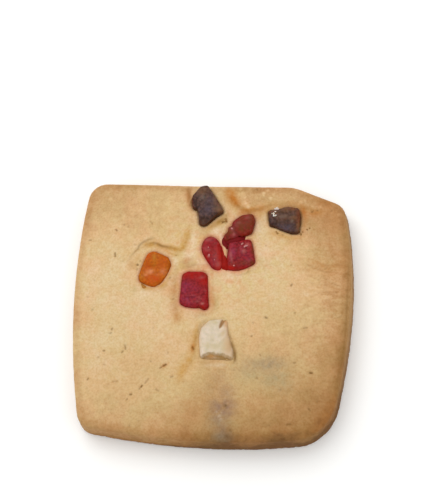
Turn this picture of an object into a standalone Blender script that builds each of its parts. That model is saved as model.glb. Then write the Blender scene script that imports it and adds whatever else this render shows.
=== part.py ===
"""A square fruit and cashew biscuit: a slice of pale shortbread dough with eight pieces
of candied fruit and nut set in its top.

The origin is under the middle of the biscuit, on the face that it rests on. +X runs to
the biscuit's right side, +Y to its back edge and +Z up.
"""

import bisect
import math

import bmesh
import bpy
from mathutils import Vector, noise

MM = 0.001

# Driving dimensions, in millimetres.
WIDTH = 62.8  # side to side, at the fullest
DEPTH = 61.0  # front to back, at the fullest
THICKNESS = 7.7  # at the middle of the top
EDGE_HEIGHT = 6.9  # where the top starts to roll over
GAP = 0.3  # all round a piece of fruit, between it and the dough

# The slice is a square that slumped as it baked: tight corners on the left, a wide one
# at the front right, and a back edge that breaks and falls away to its right corner.
# Each corner is (inset from the side, inset from the end, radius).
FRONT_LEFT = (2.4, 2.6, 2.4)
FRONT_RIGHT = (4.9, -0.3, 6.5)
BACK_RIGHT = (1.0, 7.2, 3.0)
BACK_BREAK = (10.9, 1.8, 7.6)
BACK_LEFT = (2.4, -1.4, 3.4)
BULGE = {"front": 3.4, "right": 4.7, "back": 0.1, "left": 3.4}

# The edge, from the rolled top to the foot that spread on the tray.
TOP_ROLL_OUT = 0.9
TOP_ROLL_DOWN = 1.1
FLARE = 0.7
FOOT_RADIUS = 0.6
FOOT_HEIGHT = 1.3

# Mesh density.
TOP_CELLS = 46
ROLL_STEPS = 4
WALL_STEPS = 2
FOOT_STEPS = 2
CORNER_STEPS = 10
SIDE_STEPS = 16
BEVEL_STEPS = 3

# Where the cut surface sank away from the baked skin, the skin ends in a lip. Each
# runs so that the sunk side is on its right; sizes are in millimetres.
LIPS = (
    {
        "path": (
            (-18.5, 8.8), (-17.1, 12.4), (-14.6, 13.8), (-11.7, 14.0),
            (-5.8, 12.6), (-4.3, 16.7), (-3.9, 19.4),
        ),
        "drop": 0.50,
        "bead": 0.22,
        "recover": 6.0,
    },
    {
        "path": ((4.7, 27.4), (6.3, 23.9), (8.6, 22.2), (11.6, 21.8), (20.0, 20.9), (24.4, 20.6)),
        "drop": 0.50,
        "bead": 0.26,
        "recover": 7.0,
    },
)
BEAD_WIDTH = 0.9  # of the skin's thickened end, which lies that far back from the lip
LIP_STEP = (-0.4, 0.5)  # across the lip, where the surface starts and stops to drop
END_FADE = 0.2  # share of a lip's or fold's length over which each end dies out
RIM_FADE = 0.86  # share of the way to the roll from which the relief dies out

# Soft furrows and rises of the top: a path, a height (minus is a furrow) and a width.
FOLDS = (
    {"path": ((-7.3, 9.6), (-7.8, 4.2), (-6.9, -2.6)), "height": -0.40, "width": 1.1},
    {"path": ((-6.0, 8.9), (-2.2, 9.1), (0.2, 7.2)), "height": 0.25, "width": 1.0},
    {"path": ((0.6, -14.5), (1.0, -27.4)), "height": 0.22, "width": 2.6},
    {"path": ((10.9, 13.5), (14.0, 8.1)), "height": 0.20, "width": 2.4},
)
SWELL_HEIGHT = 0.16  # the slow unevenness of a rolled dough
SWELL_LENGTH = 8.5
SWELL_LAYER = 3.7  # the slice of the noise that is used

# The pieces set in the top. Each stands on a footprint of (x, y) corners; its top is
# that footprint drawn in by taper, moved by lean and tilted by slope, all in millimetres.
PIECES = {
    "dark_fruit_back": {
        "footprint": (
            (-4.8, 24.6), (-2.2, 27.6), (-0.4, 27.7), (3.3, 21.2), (0.6, 19.4),
            (-1.3, 17.6), (-2.6, 18.0), (-3.0, 21.4), (-4.2, 22.2),
        ),
        "foot": 3.6, "top": 8.9, "taper": 0.92, "lean": (0.1, 0.2), "slope": (0.03, 0.06),
        "round": 0.5, "finish": "dark_fruit",
    },
    "dark_fruit_right": {
        "footprint": (
            (12.6, 21.1), (15.2, 21.3), (17.2, 21.9), (20.1, 21.2),
            (20.3, 19.5), (19.9, 15.3), (18.0, 15.3), (12.9, 17.4),
        ),
        "foot": 3.4, "top": 8.6, "taper": 0.92, "lean": (0.0, 0.1), "slope": (0.02, 0.07),
        "round": 0.55, "finish": "dark_fruit",
    },
    "red_fruit_strip": {
        "footprint": (
            (2.9, 13.9), (2.7, 15.4), (3.7, 17.3), (5.4, 19.3), (7.2, 20.4),
            (9.9, 20.6), (10.2, 18.9), (9.3, 16.0), (7.0, 15.0), (4.1, 14.4),
        ),
        "foot": 4.2, "top": 8.7, "taper": 0.94, "lean": (0.0, -0.1), "slope": (0.06, 0.04),
        "round": 0.6, "finish": "red_fruit",
    },
    "red_fruit_block": {
        "footprint": (
            (4.0, 13.9), (9.1, 14.6), (9.6, 12.6), (10.1, 8.7),
            (8.2, 7.7), (5.8, 7.1), (3.4, 7.4), (3.5, 10.2),
        ),
        "foot": 3.0, "top": 8.4, "taper": 0.96, "lean": (0.0, 0.1), "slope": (0.02, 0.02),
        "round": 0.6, "finish": "red_fruit",
    },
    "red_fruit_long": {
        "footprint": (
            (-1.4, 15.2), (0.0, 15.9), (1.5, 15.2), (2.5, 13.3), (3.0, 10.6), (3.0, 8.0),
            (2.1, 6.9), (0.5, 7.5), (-0.9, 9.7), (-2.1, 12.0), (-2.2, 13.6),
        ),
        "foot": 4.0, "top": 8.3, "taper": 0.93, "lean": (0.0, 0.1), "slope": (-0.03, 0.02),
        "round": 0.9, "finish": "red_fruit",
    },
    "red_fruit_cube": {
        "footprint": (
            (-6.3, 7.0), (-5.0, 7.6), (-1.4, 7.4), (-0.3, 6.6),
            (-0.1, -1.2), (-1.3, -1.5), (-5.9, -0.9), (-6.9, 0.0),
        ),
        "foot": 2.8, "top": 8.4, "taper": 0.94, "lean": (-0.1, 0.2), "slope": (0.0, -0.03),
        "round": 0.75, "finish": "red_fruit",
    },
    "orange_fruit": {
        "footprint": (
            (-14.3, 12.1), (-12.8, 12.8), (-9.3, 11.3), (-8.4, 9.5), (-8.8, 7.9),
            (-10.7, 4.6), (-12.8, 3.7), (-16.2, 5.4), (-16.3, 6.8),
        ),
        "foot": 3.2, "top": 8.3, "taper": 0.93, "lean": (0.0, 0.1), "slope": (-0.03, 0.02),
        "round": 0.7, "finish": "orange_fruit",
    },
    "cashew_piece": {
        "footprint": (
            (-0.4, -3.4), (2.4, -3.2), (3.9, -3.5), (4.0, -6.4), (5.2, -11.0),
            (5.1, -12.9), (1.4, -12.5), (-2.3, -12.2), (-2.7, -7.4), (-2.1, -5.0),
        ),
        "foot": 4.4, "top": 8.1, "taper": 0.95, "lean": (0.0, 0.0), "slope": (-0.02, -0.02),
        "round": 0.6, "finish": "cashew",
    },
}

# sRGB colour, roughness and metallic value of each material.
FINISHES = {
    "baked_dough": ((0.83, 0.68, 0.47), 0.80, 0.0),
    "dark_fruit": ((0.25, 0.17, 0.15), 0.35, 0.0),
    "red_fruit": ((0.55, 0.10, 0.11), 0.28, 0.0),
    "orange_fruit": ((0.78, 0.36, 0.10), 0.30, 0.0),
    "cashew": ((0.86, 0.78, 0.66), 0.55, 0.0),
}


def linear(channel):
    """An sRGB channel as the linear value that a shader takes."""
    return channel / 12.92 if channel <= 0.04045 else ((channel + 0.055) / 1.055) ** 2.4


def make_material(name):
    colour, roughness, metallic = FINISHES[name]
    material = bpy.data.materials.new(name)
    material.use_nodes = True
    shader = material.node_tree.nodes["Principled BSDF"]
    shader.inputs["Base Color"].default_value = (*map(linear, colour), 1.0)
    shader.inputs["Roughness"].default_value = roughness
    shader.inputs["Metallic"].default_value = metallic
    return material


def smooth_step(low, high, value):
    share = min(1.0, max(0.0, (value - low) / (high - low)))
    return share * share * (3.0 - 2.0 * share)


# ---------------------------------------------------------------- the slice's outline


def rounded_slice():
    """The slice before it slumped: straight sides with an arc at each corner."""
    half_x, half_y = WIDTH / 2, DEPTH / 2
    corners = (
        (-half_x + FRONT_LEFT[0], -half_y + FRONT_LEFT[1], FRONT_LEFT[2]),
        (half_x - FRONT_RIGHT[0], -half_y + FRONT_RIGHT[1], FRONT_RIGHT[2]),
        (half_x - BACK_RIGHT[0], half_y - BACK_RIGHT[1], BACK_RIGHT[2]),
        (half_x - BACK_BREAK[0], half_y - BACK_BREAK[1], BACK_BREAK[2]),
        (-half_x + BACK_LEFT[0], half_y - BACK_LEFT[1], BACK_LEFT[2]),
    )
    points = []
    for index, (x, y, radius) in enumerate(corners):
        here = Vector((x, y))
        back = (Vector(corners[index - 1][:2]) - here).normalized()
        ahead = (Vector(corners[(index + 1) % len(corners)][:2]) - here).normalized()
        half_angle = back.angle(ahead) / 2
        centre = here + (back + ahead).normalized() * (radius / math.sin(half_angle))
        start = here + back * (radius / math.tan(half_angle)) - centre
        turn = math.pi - 2 * half_angle
        for step in range(CORNER_STEPS + 1):
            angle = turn * step / CORNER_STEPS
            spoke = Vector((
                start.x * math.cos(angle) - start.y * math.sin(angle),
                start.x * math.sin(angle) + start.y * math.cos(angle),
            ))
            points.append(centre + spoke)
    return points


def slumped(point):
    """Moves a point of the plain slice out to where the soft dough swelled to."""
    share_x = 2 * point.x / WIDTH
    share_y = 2 * point.y / DEPTH
    side = BULGE["right"] if point.x > 0 else BULGE["left"]
    end = BULGE["back"] if point.y > 0 else BULGE["front"]
    return Vector((
        point.x + side * share_x * (1 - share_y * share_y),
        point.y + end * share_y * (1 - share_x * share_x),
    ))


def outline_table():
    """(angles, radii) of the outline round the middle of its own box, in order."""
    corner_points = rounded_slice()
    points = []
    for index, point in enumerate(corner_points):
        after = corner_points[(index + 1) % len(corner_points)]
        is_side = (index + 1) % (CORNER_STEPS + 1) == 0
        steps = SIDE_STEPS if is_side else 1
        points += [slumped(point.lerp(after, step / steps)) for step in range(steps)]
    low = Vector((min(p.x for p in points), min(p.y for p in points)))
    high = Vector((max(p.x for p in points), max(p.y for p in points)))
    middle, size = (low + high) / 2, high - low
    fitted = [
        Vector(((p.x - middle.x) * WIDTH / size.x, (p.y - middle.y) * DEPTH / size.y))
        for p in points
    ]
    polar = sorted((math.atan2(p.y, p.x), p.length) for p in fitted)
    first, last = polar[0], polar[-1]
    closed = [(last[0] - math.tau, last[1]), *polar, (first[0] + math.tau, first[1])]
    return [a for a, _ in closed], [r for _, r in closed]


OUTLINE_ANGLES, OUTLINE_RADII = outline_table()


def outline_radius(angle):
    """How far the fullest part of the edge is from the middle, in that direction."""
    after = bisect.bisect_right(OUTLINE_ANGLES, angle)
    low, high = OUTLINE_ANGLES[after - 1], OUTLINE_ANGLES[after]
    share = (angle - low) / (high - low)
    return OUTLINE_RADII[after - 1] * (1 - share) + OUTLINE_RADII[after] * share


# ------------------------------------------------------------------ the relief on top


def nearest_on_path(point, path):
    """(distance, signed distance that is positive on the right, share along the path)."""
    best = None
    lengths = [(Vector(b) - Vector(a)).length for a, b in zip(path, path[1:])]
    run = 0.0
    for (a, b), length in zip(zip(path, path[1:]), lengths):
        start, step = Vector(a), Vector(b) - Vector(a)
        raw = (point - start).dot(step) / step.length_squared
        share = min(1.0, max(0.0, raw))
        offset = point - (start + step * share)
        right = offset.x * step.y - offset.y * step.x
        if best is None or offset.length < best[0]:
            signed = math.copysign(offset.length, right)
            best = (offset.length, signed, (run + share * length) / sum(lengths))
        run += length
    return best


def end_fade(share):
    """Lets a lip or fold die out towards both of its ends."""
    return smooth_step(0.0, END_FADE, share) * smooth_step(1.0, 1.0 - END_FADE, share)


def lip_height(point, lip):
    _, signed, share = nearest_on_path(point, lip["path"])
    bead = lip["bead"] * math.exp(-((signed + BEAD_WIDTH) / BEAD_WIDTH) ** 2)
    sunk = lip["drop"] * smooth_step(*LIP_STEP, signed) * math.exp(-max(0.0, signed) / lip["recover"])
    return (bead - sunk) * end_fade(share)


def fold_height(point, fold):
    distance, _, share = nearest_on_path(point, fold["path"])
    return fold["height"] * math.exp(-((distance / fold["width"]) ** 2)) * end_fade(share)


def top_height(x, y, rim_share):
    """Height of the top at x, y; rim_share goes from 0 at the middle to 1 at the roll."""
    point = Vector((x, y))
    crown = THICKNESS - (THICKNESS - EDGE_HEIGHT) * rim_share**3
    swell = SWELL_HEIGHT * noise.noise(Vector((x, y, SWELL_LAYER)) / SWELL_LENGTH)
    relief = sum(lip_height(point, lip) for lip in LIPS)
    relief += sum(fold_height(point, fold) for fold in FOLDS)
    return crown + swell + relief * smooth_step(1.0, RIM_FADE, rim_share)


# -------------------------------------------------------------------------- the dough


def edge_profile():
    """(distance out from the roll's start, share of the height dropped), top to foot."""
    rings = []
    for step in range(1, ROLL_STEPS + 1):
        angle = math.pi / 2 * step / ROLL_STEPS
        rings.append((
            TOP_ROLL_OUT * math.sin(angle),
            TOP_ROLL_DOWN / EDGE_HEIGHT * (1 - math.cos(angle)),
        ))
    wall_start = TOP_ROLL_DOWN / EDGE_HEIGHT
    wall_end = 1 - FOOT_HEIGHT / EDGE_HEIGHT
    for step in range(1, WALL_STEPS + 1):
        share = step / WALL_STEPS
        rings.append((TOP_ROLL_OUT + FLARE * share, wall_start + (wall_end - wall_start) * share))
    for step in range(1, FOOT_STEPS + 1):
        angle = math.pi / 2 * step / FOOT_STEPS
        rings.append((
            TOP_ROLL_OUT + FLARE - FOOT_RADIUS * (1 - math.cos(angle)),
            wall_end + (1 - wall_end) * math.sin(angle),
        ))
    return rings


def biscuit_mesh():
    """The whole slice with no pockets: a grid for the top, drawn down to a flat foot."""
    mesh = bmesh.new()
    bmesh.ops.create_grid(mesh, x_segments=TOP_CELLS, y_segments=TOP_CELLS, size=1.0)
    edge_width = TOP_ROLL_OUT + FLARE
    rim = {}
    for vertex in mesh.verts:
        ring = max(abs(vertex.co.x), abs(vertex.co.y))
        angle = math.atan2(vertex.co.y, vertex.co.x)
        radius = (outline_radius(angle) - edge_width) * ring
        x, y = radius * math.cos(angle), radius * math.sin(angle)
        z = top_height(x, y, ring)
        if vertex.is_boundary:
            rim[vertex] = (angle, z)
        vertex.co = Vector((x, y, z)) * MM
    edges = [edge for edge in mesh.edges if edge.is_boundary]
    for out, dropped in edge_profile():
        made = bmesh.ops.extrude_edge_only(mesh, edges=edges)["geom"]
        lower = {}
        for edge in (item for item in made if isinstance(item, bmesh.types.BMEdge)):
            for low in edge.verts:
                high = next((e.other_vert(low) for e in low.link_edges if e.other_vert(low) in rim), None)
                if high is not None:
                    lower[low] = rim[high]
        for vertex, (angle, top) in lower.items():
            radius = outline_radius(angle) - edge_width + out
            height = top * (1 - dropped)
            vertex.co = Vector((radius * math.cos(angle), radius * math.sin(angle), height)) * MM
        rim = lower
        edges = [edge for edge in mesh.edges if edge.is_boundary]
    bmesh.ops.contextual_create(mesh, geom=edges)
    bmesh.ops.recalc_face_normals(mesh, faces=mesh.faces)
    data = bpy.data.meshes.new("biscuit")
    mesh.to_mesh(data)
    mesh.free()
    return data


# ------------------------------------------------------------------- fruit and cashew


def piece_mesh(name, piece):
    """A cut block of fruit or nut: its footprint drawn up to a smaller, tilted top."""
    corners = [Vector(corner) for corner in piece["footprint"]]
    middle = sum(corners, Vector((0.0, 0.0))) / len(corners)
    mesh = bmesh.new()
    bmesh.ops.create_circle(mesh, cap_ends=True, radius=1.0, segments=len(corners))
    mesh.verts.ensure_lookup_table()
    for vertex, corner in zip(mesh.verts, corners):
        vertex.co = Vector((corner.x, corner.y, piece["foot"])) * MM
    base = list(mesh.faces)
    raised = bmesh.ops.extrude_face_region(mesh, geom=base, use_keep_orig=True)["geom"]
    for vertex in (item for item in raised if isinstance(item, bmesh.types.BMVert)):
        offset = vertex.co.xy / MM - middle
        place = middle + offset * piece["taper"] + Vector(piece["lean"])
        height = piece["top"] + offset.dot(Vector(piece["slope"]))
        vertex.co = Vector((place.x, place.y, height)) * MM
    bmesh.ops.recalc_face_normals(mesh, faces=mesh.faces)
    data = bpy.data.meshes.new(name)
    mesh.to_mesh(data)
    mesh.free()
    return data


def add_object(name, data, collection):
    made = bpy.data.objects.new(name, data)
    collection.objects.link(made)
    return made


def round_edges(made, width):
    bevel = made.modifiers.new("rounded edges", "BEVEL")
    bevel.width = width * MM
    bevel.segments = BEVEL_STEPS
    bevel.limit_method = "NONE"


def add_piece(name, piece, shown, cutters):
    """One piece of fruit or nut, and the cutter that leaves its pocket in the dough."""
    data = piece_mesh(name, piece)
    made = add_object(name, data, shown)
    round_edges(made, piece["round"])
    made.data.materials.append(bpy.data.materials[piece["finish"]])
    made.data.shade_smooth()
    cutter = add_object(name + "_pocket", data.copy(), cutters)
    round_edges(cutter, piece["round"])
    swell = cutter.modifiers.new("gap", "DISPLACE")
    swell.strength = GAP * MM
    swell.mid_level = 0.0
    cutter.hide_render = True
    cutter.display_type = "WIRE"


def add_biscuit(shown, cutters):
    made = add_object("biscuit", biscuit_mesh(), shown)
    made.data.materials.append(bpy.data.materials["baked_dough"])
    made.data.shade_smooth()
    pockets = made.modifiers.new("pockets", "BOOLEAN")
    pockets.operation = "DIFFERENCE"
    pockets.operand_type = "COLLECTION"
    pockets.collection = cutters
    pockets.solver = "EXACT"


def main():
    for old in list(bpy.data.objects):
        bpy.data.objects.remove(old)
    for name in FINISHES:
        make_material(name)
    shown = bpy.data.collections.new("cashew_fruit_cookie")
    cutters = bpy.data.collections.new("pocket_cutters")
    for collection in (shown, cutters):
        bpy.context.scene.collection.children.link(collection)
    cutters.hide_render = True
    for name, piece in PIECES.items():
        add_piece(name, piece, shown, cutters)
    add_biscuit(shown, cutters)


main()
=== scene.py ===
import math
import random

import bmesh
import bpy
import numpy as np
from mathutils import Matrix, Vector, noise
from mathutils.bvhtree import BVHTree


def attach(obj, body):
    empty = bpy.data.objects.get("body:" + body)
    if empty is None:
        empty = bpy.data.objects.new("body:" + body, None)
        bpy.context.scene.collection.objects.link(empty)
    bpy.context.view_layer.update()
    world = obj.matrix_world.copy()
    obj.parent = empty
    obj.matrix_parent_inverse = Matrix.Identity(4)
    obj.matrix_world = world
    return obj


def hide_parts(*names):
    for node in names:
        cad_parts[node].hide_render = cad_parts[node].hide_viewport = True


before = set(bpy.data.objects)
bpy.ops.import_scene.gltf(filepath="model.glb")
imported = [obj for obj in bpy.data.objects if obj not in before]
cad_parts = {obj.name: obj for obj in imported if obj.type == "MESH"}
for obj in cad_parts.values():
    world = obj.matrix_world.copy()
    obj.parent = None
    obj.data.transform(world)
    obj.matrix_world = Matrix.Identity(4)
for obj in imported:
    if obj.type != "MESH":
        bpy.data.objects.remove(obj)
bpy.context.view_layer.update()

mm = 0.001  # sizes below are in mm and turned to metres with this
print("packed model loaded:", ", ".join(sorted(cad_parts)))


# helpers that every piece uses

def hexLinear(text):
    channels = [int(text[i:i + 2], 16) / 255 for i in (1, 3, 5)]
    straight = [c / 12.92 if c <= 0.04045 else ((c + 0.055) / 1.055) ** 2.4 for c in channels]
    return (*straight, 1.0)


def addNode(tree, kind, settings=None, links=None):
    node = tree.nodes.new("ShaderNode" + kind)
    for name, value in (settings or {}).items():
        if name == "stops":  # a colour ramp, as (place, hex) pairs
            stops = node.color_ramp.elements
            stops.remove(stops[1])
            stops[0].position, stops[0].color = value[0][0], hexLinear(value[0][1])
            for place, tone in value[1:]:
                stops.new(place).color = hexLinear(tone)
        elif isinstance(name, int) or name in node.inputs:
            node.inputs[name].default_value = value
        else:
            setattr(node, name, value)
    for name, source in (links or {}).items():
        tree.links.new(source, node.inputs[name])
    return node


def newMaterial(name):
    material = bpy.data.materials.new(name)
    material.use_nodes = True
    material.node_tree.nodes.clear()
    return material, material.node_tree


def paintOver(tree, colour, tones, masks, thinned=None):
    # lays the tone of each painted mask over the colour in turn, thinned by a pattern where one is given
    for mask, strength in masks:
        painted = addNode(tree, "Attribute", {"attribute_name": mask}).outputs["Fac"]
        share = addNode(tree, "Math", {"operation": "MULTIPLY", 1: strength}, {0: painted}).outputs[0]
        if thinned and mask in thinned:
            share = addNode(tree, "Math", {"operation": "MULTIPLY"},
                            {0: share, 1: thinned[mask]}).outputs[0]
        colour = addNode(tree, "Mix", {"data_type": "RGBA", 7: hexLinear(tones[mask])},
                         {0: share, 6: colour}).outputs[2]
    return colour


def ease(low, high, value):
    # 0 at low, 1 at high, and smooth between them
    share = np.clip((value - low) / (high - low), 0.0, 1.0)
    return share * share * (3.0 - 2.0 * share)


def bump(distance, width):
    # 1 on the spot, fading to nothing at about twice the width
    return np.exp(-(distance / width) ** 2)


def noiseAt(points, size, layer):
    # soft noise from -1 to 1 whose lumps are about that many mm across; each layer is another noise
    shift = Vector((layer * 7.3, layer * 3.1, layer * 5.7))
    return np.array([noise.noise(Vector(p) / size + shift) for p in points])


def cellsAt(points, size, layer):
    # distance to the nearest of scattered centres, about 0 to 1, that many mm apart
    shift = Vector((layer * 9.1, layer * 2.3, 0.0))
    return np.array([noise.voronoi(Vector(p) / size + shift)[0][0] for p in points])


def curveThrough(points, stepsEach=5):
    # a smooth line through given points
    ends = [points[0], *points, points[-1]]
    line = []
    for a, b, c, d in zip(ends, ends[1:], ends[2:], ends[3:]):
        a, b, c, d = (np.array(p, float) for p in (a, b, c, d))
        for step in range(stepsEach):
            t = step / stepsEach
            line.append(0.5 * (2 * b + (c - a) * t + (2 * a - 5 * b + 4 * c - d) * t**2
                               + (3 * b - a - 3 * c + d) * t**3))
    line.append(np.array(points[-1], float))
    return np.array(line)


def alongLine(xy, line):
    # distance, signed distance (plus is on the line's right) and share of the way along
    line = line[:, :2]
    starts, steps = line[:-1], np.diff(line, axis=0)
    lengths = np.hypot(steps[:, 0], steps[:, 1])
    travelled = np.concatenate(([0.0], np.cumsum(lengths)))
    nearest = np.full(len(xy), 1e9)
    signed, share = np.zeros(len(xy)), np.zeros(len(xy))
    for start, step, length, gone in zip(starts, steps, lengths, travelled):
        part = np.clip(((xy - start) @ step) / length**2, 0.0, 1.0)
        offset = xy - start - part[:, None] * step
        distance = np.hypot(offset[:, 0], offset[:, 1])
        side = np.sign(offset[:, 0] * step[1] - offset[:, 1] * step[0])
        closer = distance < nearest
        nearest = np.where(closer, distance, nearest)
        signed = np.where(closer, side * distance, signed)
        share = np.where(closer, (gone + part * length) / travelled[-1], share)
    return nearest, signed, share


def valuesAlong(share, line):
    # the numbers that follow x and y in each row of a line, at that share of its length
    lengths = np.hypot(*np.diff(line[:, :2], axis=0).T)
    places = np.concatenate(([0.0], np.cumsum(lengths))) / lengths.sum()
    return [np.interp(share, places, column) for column in line[:, 2:].T]


def fadeEnds(share, first=0.2, last=0.2):
    return ease(0.0, first, share) * ease(1.0, 1.0 - last, share)


def spotMask(xy, spots):
    # soft oval patches: place, half width, half height, strength
    mask = np.zeros(len(xy))
    for x, y, wide, high, strength in spots:
        mask = np.maximum(mask, strength * np.exp(-((xy[:, 0] - x) / wide)**2 - ((xy[:, 1] - y) / high)**2))
    return mask


def readPoints(mesh, what="co"):
    flat = np.zeros(len(mesh.vertices) * 3)
    source = mesh.vertices if what == "co" else mesh.vertex_normals
    source.foreach_get("co" if what == "co" else "vector", flat)
    return flat.reshape(-1, 3)


def writePoints(mesh, points):
    mesh.vertices.foreach_set("co", (points * mm).ravel())
    mesh.update()


def surfaceTree(mesh):
    return BVHTree.FromPolygons([v.co for v in mesh.vertices], [p.vertices for p in mesh.polygons])


def finishedMesh(shape, name):
    data = bpy.data.meshes.new(name)
    shape.to_mesh(data)
    shape.free()
    return data


def storeMask(mesh, name, values):
    layer = mesh.attributes.new(name, "FLOAT", "POINT")
    layer.data.foreach_set("value", np.clip(values, 0.0, 1.0).astype(np.float32))


def showPiece(name, mesh, material, slot, *nodes):
    piece = bpy.data.objects.new(name, mesh)
    bpy.context.scene.collection.objects.link(piece)
    mesh.materials.clear()
    mesh.materials.append(material)
    mesh.shade_smooth()
    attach(piece, "root")
    if nodes:
        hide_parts(*nodes)
    return piece


# the candied fruit and the nut

# spots are (x, y, half width, half height, strength) in mm; glow is where light shines through,
# dusk the dusty purple faces, tawny where the dye baked out, bloom where sugar dried pale and,
# in some spots, a painted highlight.
# Ledges are (line, fall, width, how dim the face beyond is, a painted shade) and lumps (x, y, reach,
# height)
redFruit = {
    "red_fruit_strip": {
        "swell": 0.07, "swellSize": 2.3, "crinkle": 0.030, "sag": 0.02, "soften": 4,
        "creases": (((4.4, 18.5), (5.1, 16.9), (6.1, 15.5), (6.9, 14.4)),
                    ((3.5, 17.4), (3.6, 15.8), (4.1, 14.6))),
        "creaseDepth": 0.32, "creaseWidth": 0.45,
        "ledges": (), "lumps": ((7.4, 17.6, 1.5, 0.14),),
        "glow": ((8.0, 15.4, 1.3, 0.4, 0.8), (6.6, 16.4, 0.6, 0.9, 0.3)),
        "dusk": ((5.6, 17.4, 0.8, 1.0, 0.5), (7.6, 17.8, 1.1, 0.7, 0.4), (5.4, 15.6, 0.9, 0.8, 0.6)),
        "tawny": ((4.2, 16.0, 1.5, 2.2, 0.85), (9.4, 19.5, 1.6, 1.8, 1.0), (7.0, 19.3, 1.8, 1.0, 0.9),
                  (7.6, 17.4, 2.4, 2.0, 1.15), (9.2, 18.0, 0.8, 2.0, 1.1)),
        "bloom": ((4.9, 16.9, 0.35, 0.45, 0.6), (5.3, 15.7, 0.3, 0.6, 0.3), (6.4, 18.2, 0.6, 0.4, 0.2),
                  (8.4, 19.3, 0.7, 0.35, 0.25)),
    },
    "red_fruit_block": {
        "swell": 0.07, "swellSize": 1.8, "crinkle": 0.040, "sag": 0.06, "soften": 3,
        "creases": (((6.3, 14.4), (6.0, 11.4), (6.4, 8.0)),), "creaseDepth": 0.07, "creaseWidth": 0.7,
        "ledges": ((((3.0, 8.6), (5.2, 8.3), (7.6, 8.4), (10.4, 9.4)), 0.14, 0.5, 0.0),), "lumps": (),
        "glow": ((4.2, 8.0, 1.7, 0.7, 1.0), (7.2, 7.8, 2.6, 0.4, 0.7), (7.6, 14.5, 1.6, 0.4, 1.0),
                 (3.7, 9.6, 0.3, 1.2, 0.8)),
        "dusk": ((4.9, 11.4, 0.9, 1.9, 0.8), (8.4, 9.8, 1.1, 1.3, 0.6), (6.9, 11.6, 0.5, 1.4, 0.5)),
        "tawny": ((9.5, 12.6, 0.5, 2.2, 0.9), (3.8, 12.6, 0.35, 1.8, 0.8), (9.2, 8.9, 0.8, 0.9, 0.9),
                  (6.4, 7.4, 0.9, 0.3, 0.6), (5.3, 8.9, 1.0, 0.5, 0.45), (7.7, 9.0, 1.3, 0.6, 0.7)),
        "bloom": ((4.6, 10.9, 0.3, 0.8, 0.45), (4.8, 9.8, 0.25, 0.6, 0.4), (7.4, 11.7, 0.5, 0.5, 0.5),
                  (8.3, 13.2, 0.5, 0.3, 0.4)),
    },
    "red_fruit_long": {
        "swell": 0.07, "swellSize": 2.2, "crinkle": 0.025, "sag": -0.08, "soften": 6,
        "creases": (((0.4, 12.9), (1.0, 10.8), (1.9, 8.6)),), "creaseDepth": 0.05, "creaseWidth": 0.6,
        "ledges": (), "lumps": (),
        "glow": ((2.2, 10.8, 0.9, 3.8, 1.0), (2.2, 7.8, 1.5, 1.5, 1.0), (-0.9, 9.8, 0.6, 1.8, 0.9),
                 (0.2, 12.4, 1.4, 2.6, 0.4)),
        "dusk": ((-0.3, 12.8, 0.9, 1.0, 0.2), (0.9, 9.6, 0.7, 1.1, 0.4), (0.2, 14.4, 0.8, 0.5, 0.4)),
        "tawny": ((-0.2, 15.5, 1.8, 0.45, 0.9), (-1.8, 14.0, 0.4, 0.9, 0.8)),
        "bloom": ((-0.4, 14.6, 1.0, 0.4, 0.4), (-0.3, 12.2, 0.7, 0.4, 0.25), (-0.3, 10.8, 0.25, 0.3, 0.8),
                  (0.6, 15.0, 0.7, 0.3, 0.3), (1.2, 10.8, 0.7, 1.6, 0.2), (1.7, 8.8, 0.7, 0.8, 0.3)),
    },
    "red_fruit_cube": {
        "swell": 0.06, "swellSize": 2.4, "crinkle": 0.034, "sag": 0.06, "soften": 3,
        "creases": (((-2.4, -2.0), (-2.5, -0.4)), ((-5.6, 1.6), (-4.2, 1.5), (-2.6, 1.7)),),
        "creaseDepth": 0.11, "creaseWidth": 0.36,
        "ledges": ((((0.4, 3.6), (-2.3, 4.1), (-3.0, 4.8), (-3.9, 5.4), (-7.4, 5.5)), 0.20, 0.6, 0.0),),
        "lumps": ((-1.1, -1.1, 0.75, 0.34),),
        "glow": ((-3.6, 6.7, 3.2, 1.1, 1.0), (-1.2, 5.4, 1.3, 1.6, 1.0), (-0.6, 2.4, 0.6, 3.6, 0.45),
                 (-1.2, -0.9, 1.2, 0.8, 0.7)),
        "dusk": ((-5.3, 3.8, 1.3, 1.5, 1.0), (-4.8, 1.2, 1.6, 1.4, 0.8), (-3.4, 3.4, 1.3, 0.9, 0.5)),
        "tawny": ((-6.3, 6.4, 0.5, 1.0, 0.6), (-0.5, 6.6, 0.8, 0.8, 0.5), (-2.2, -1.3, 0.5, 0.4, 0.8)),
        "bloom": ((-1.8, 6.0, 0.6, 0.3, 0.3), (-1.6, -0.1, 0.4, 0.25, 0.8), (-4.2, 1.9, 1.4, 0.15, 0.2),
                  (-3.4, 0.4, 1.2, 0.12, 0.2)),
    },
}
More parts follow.
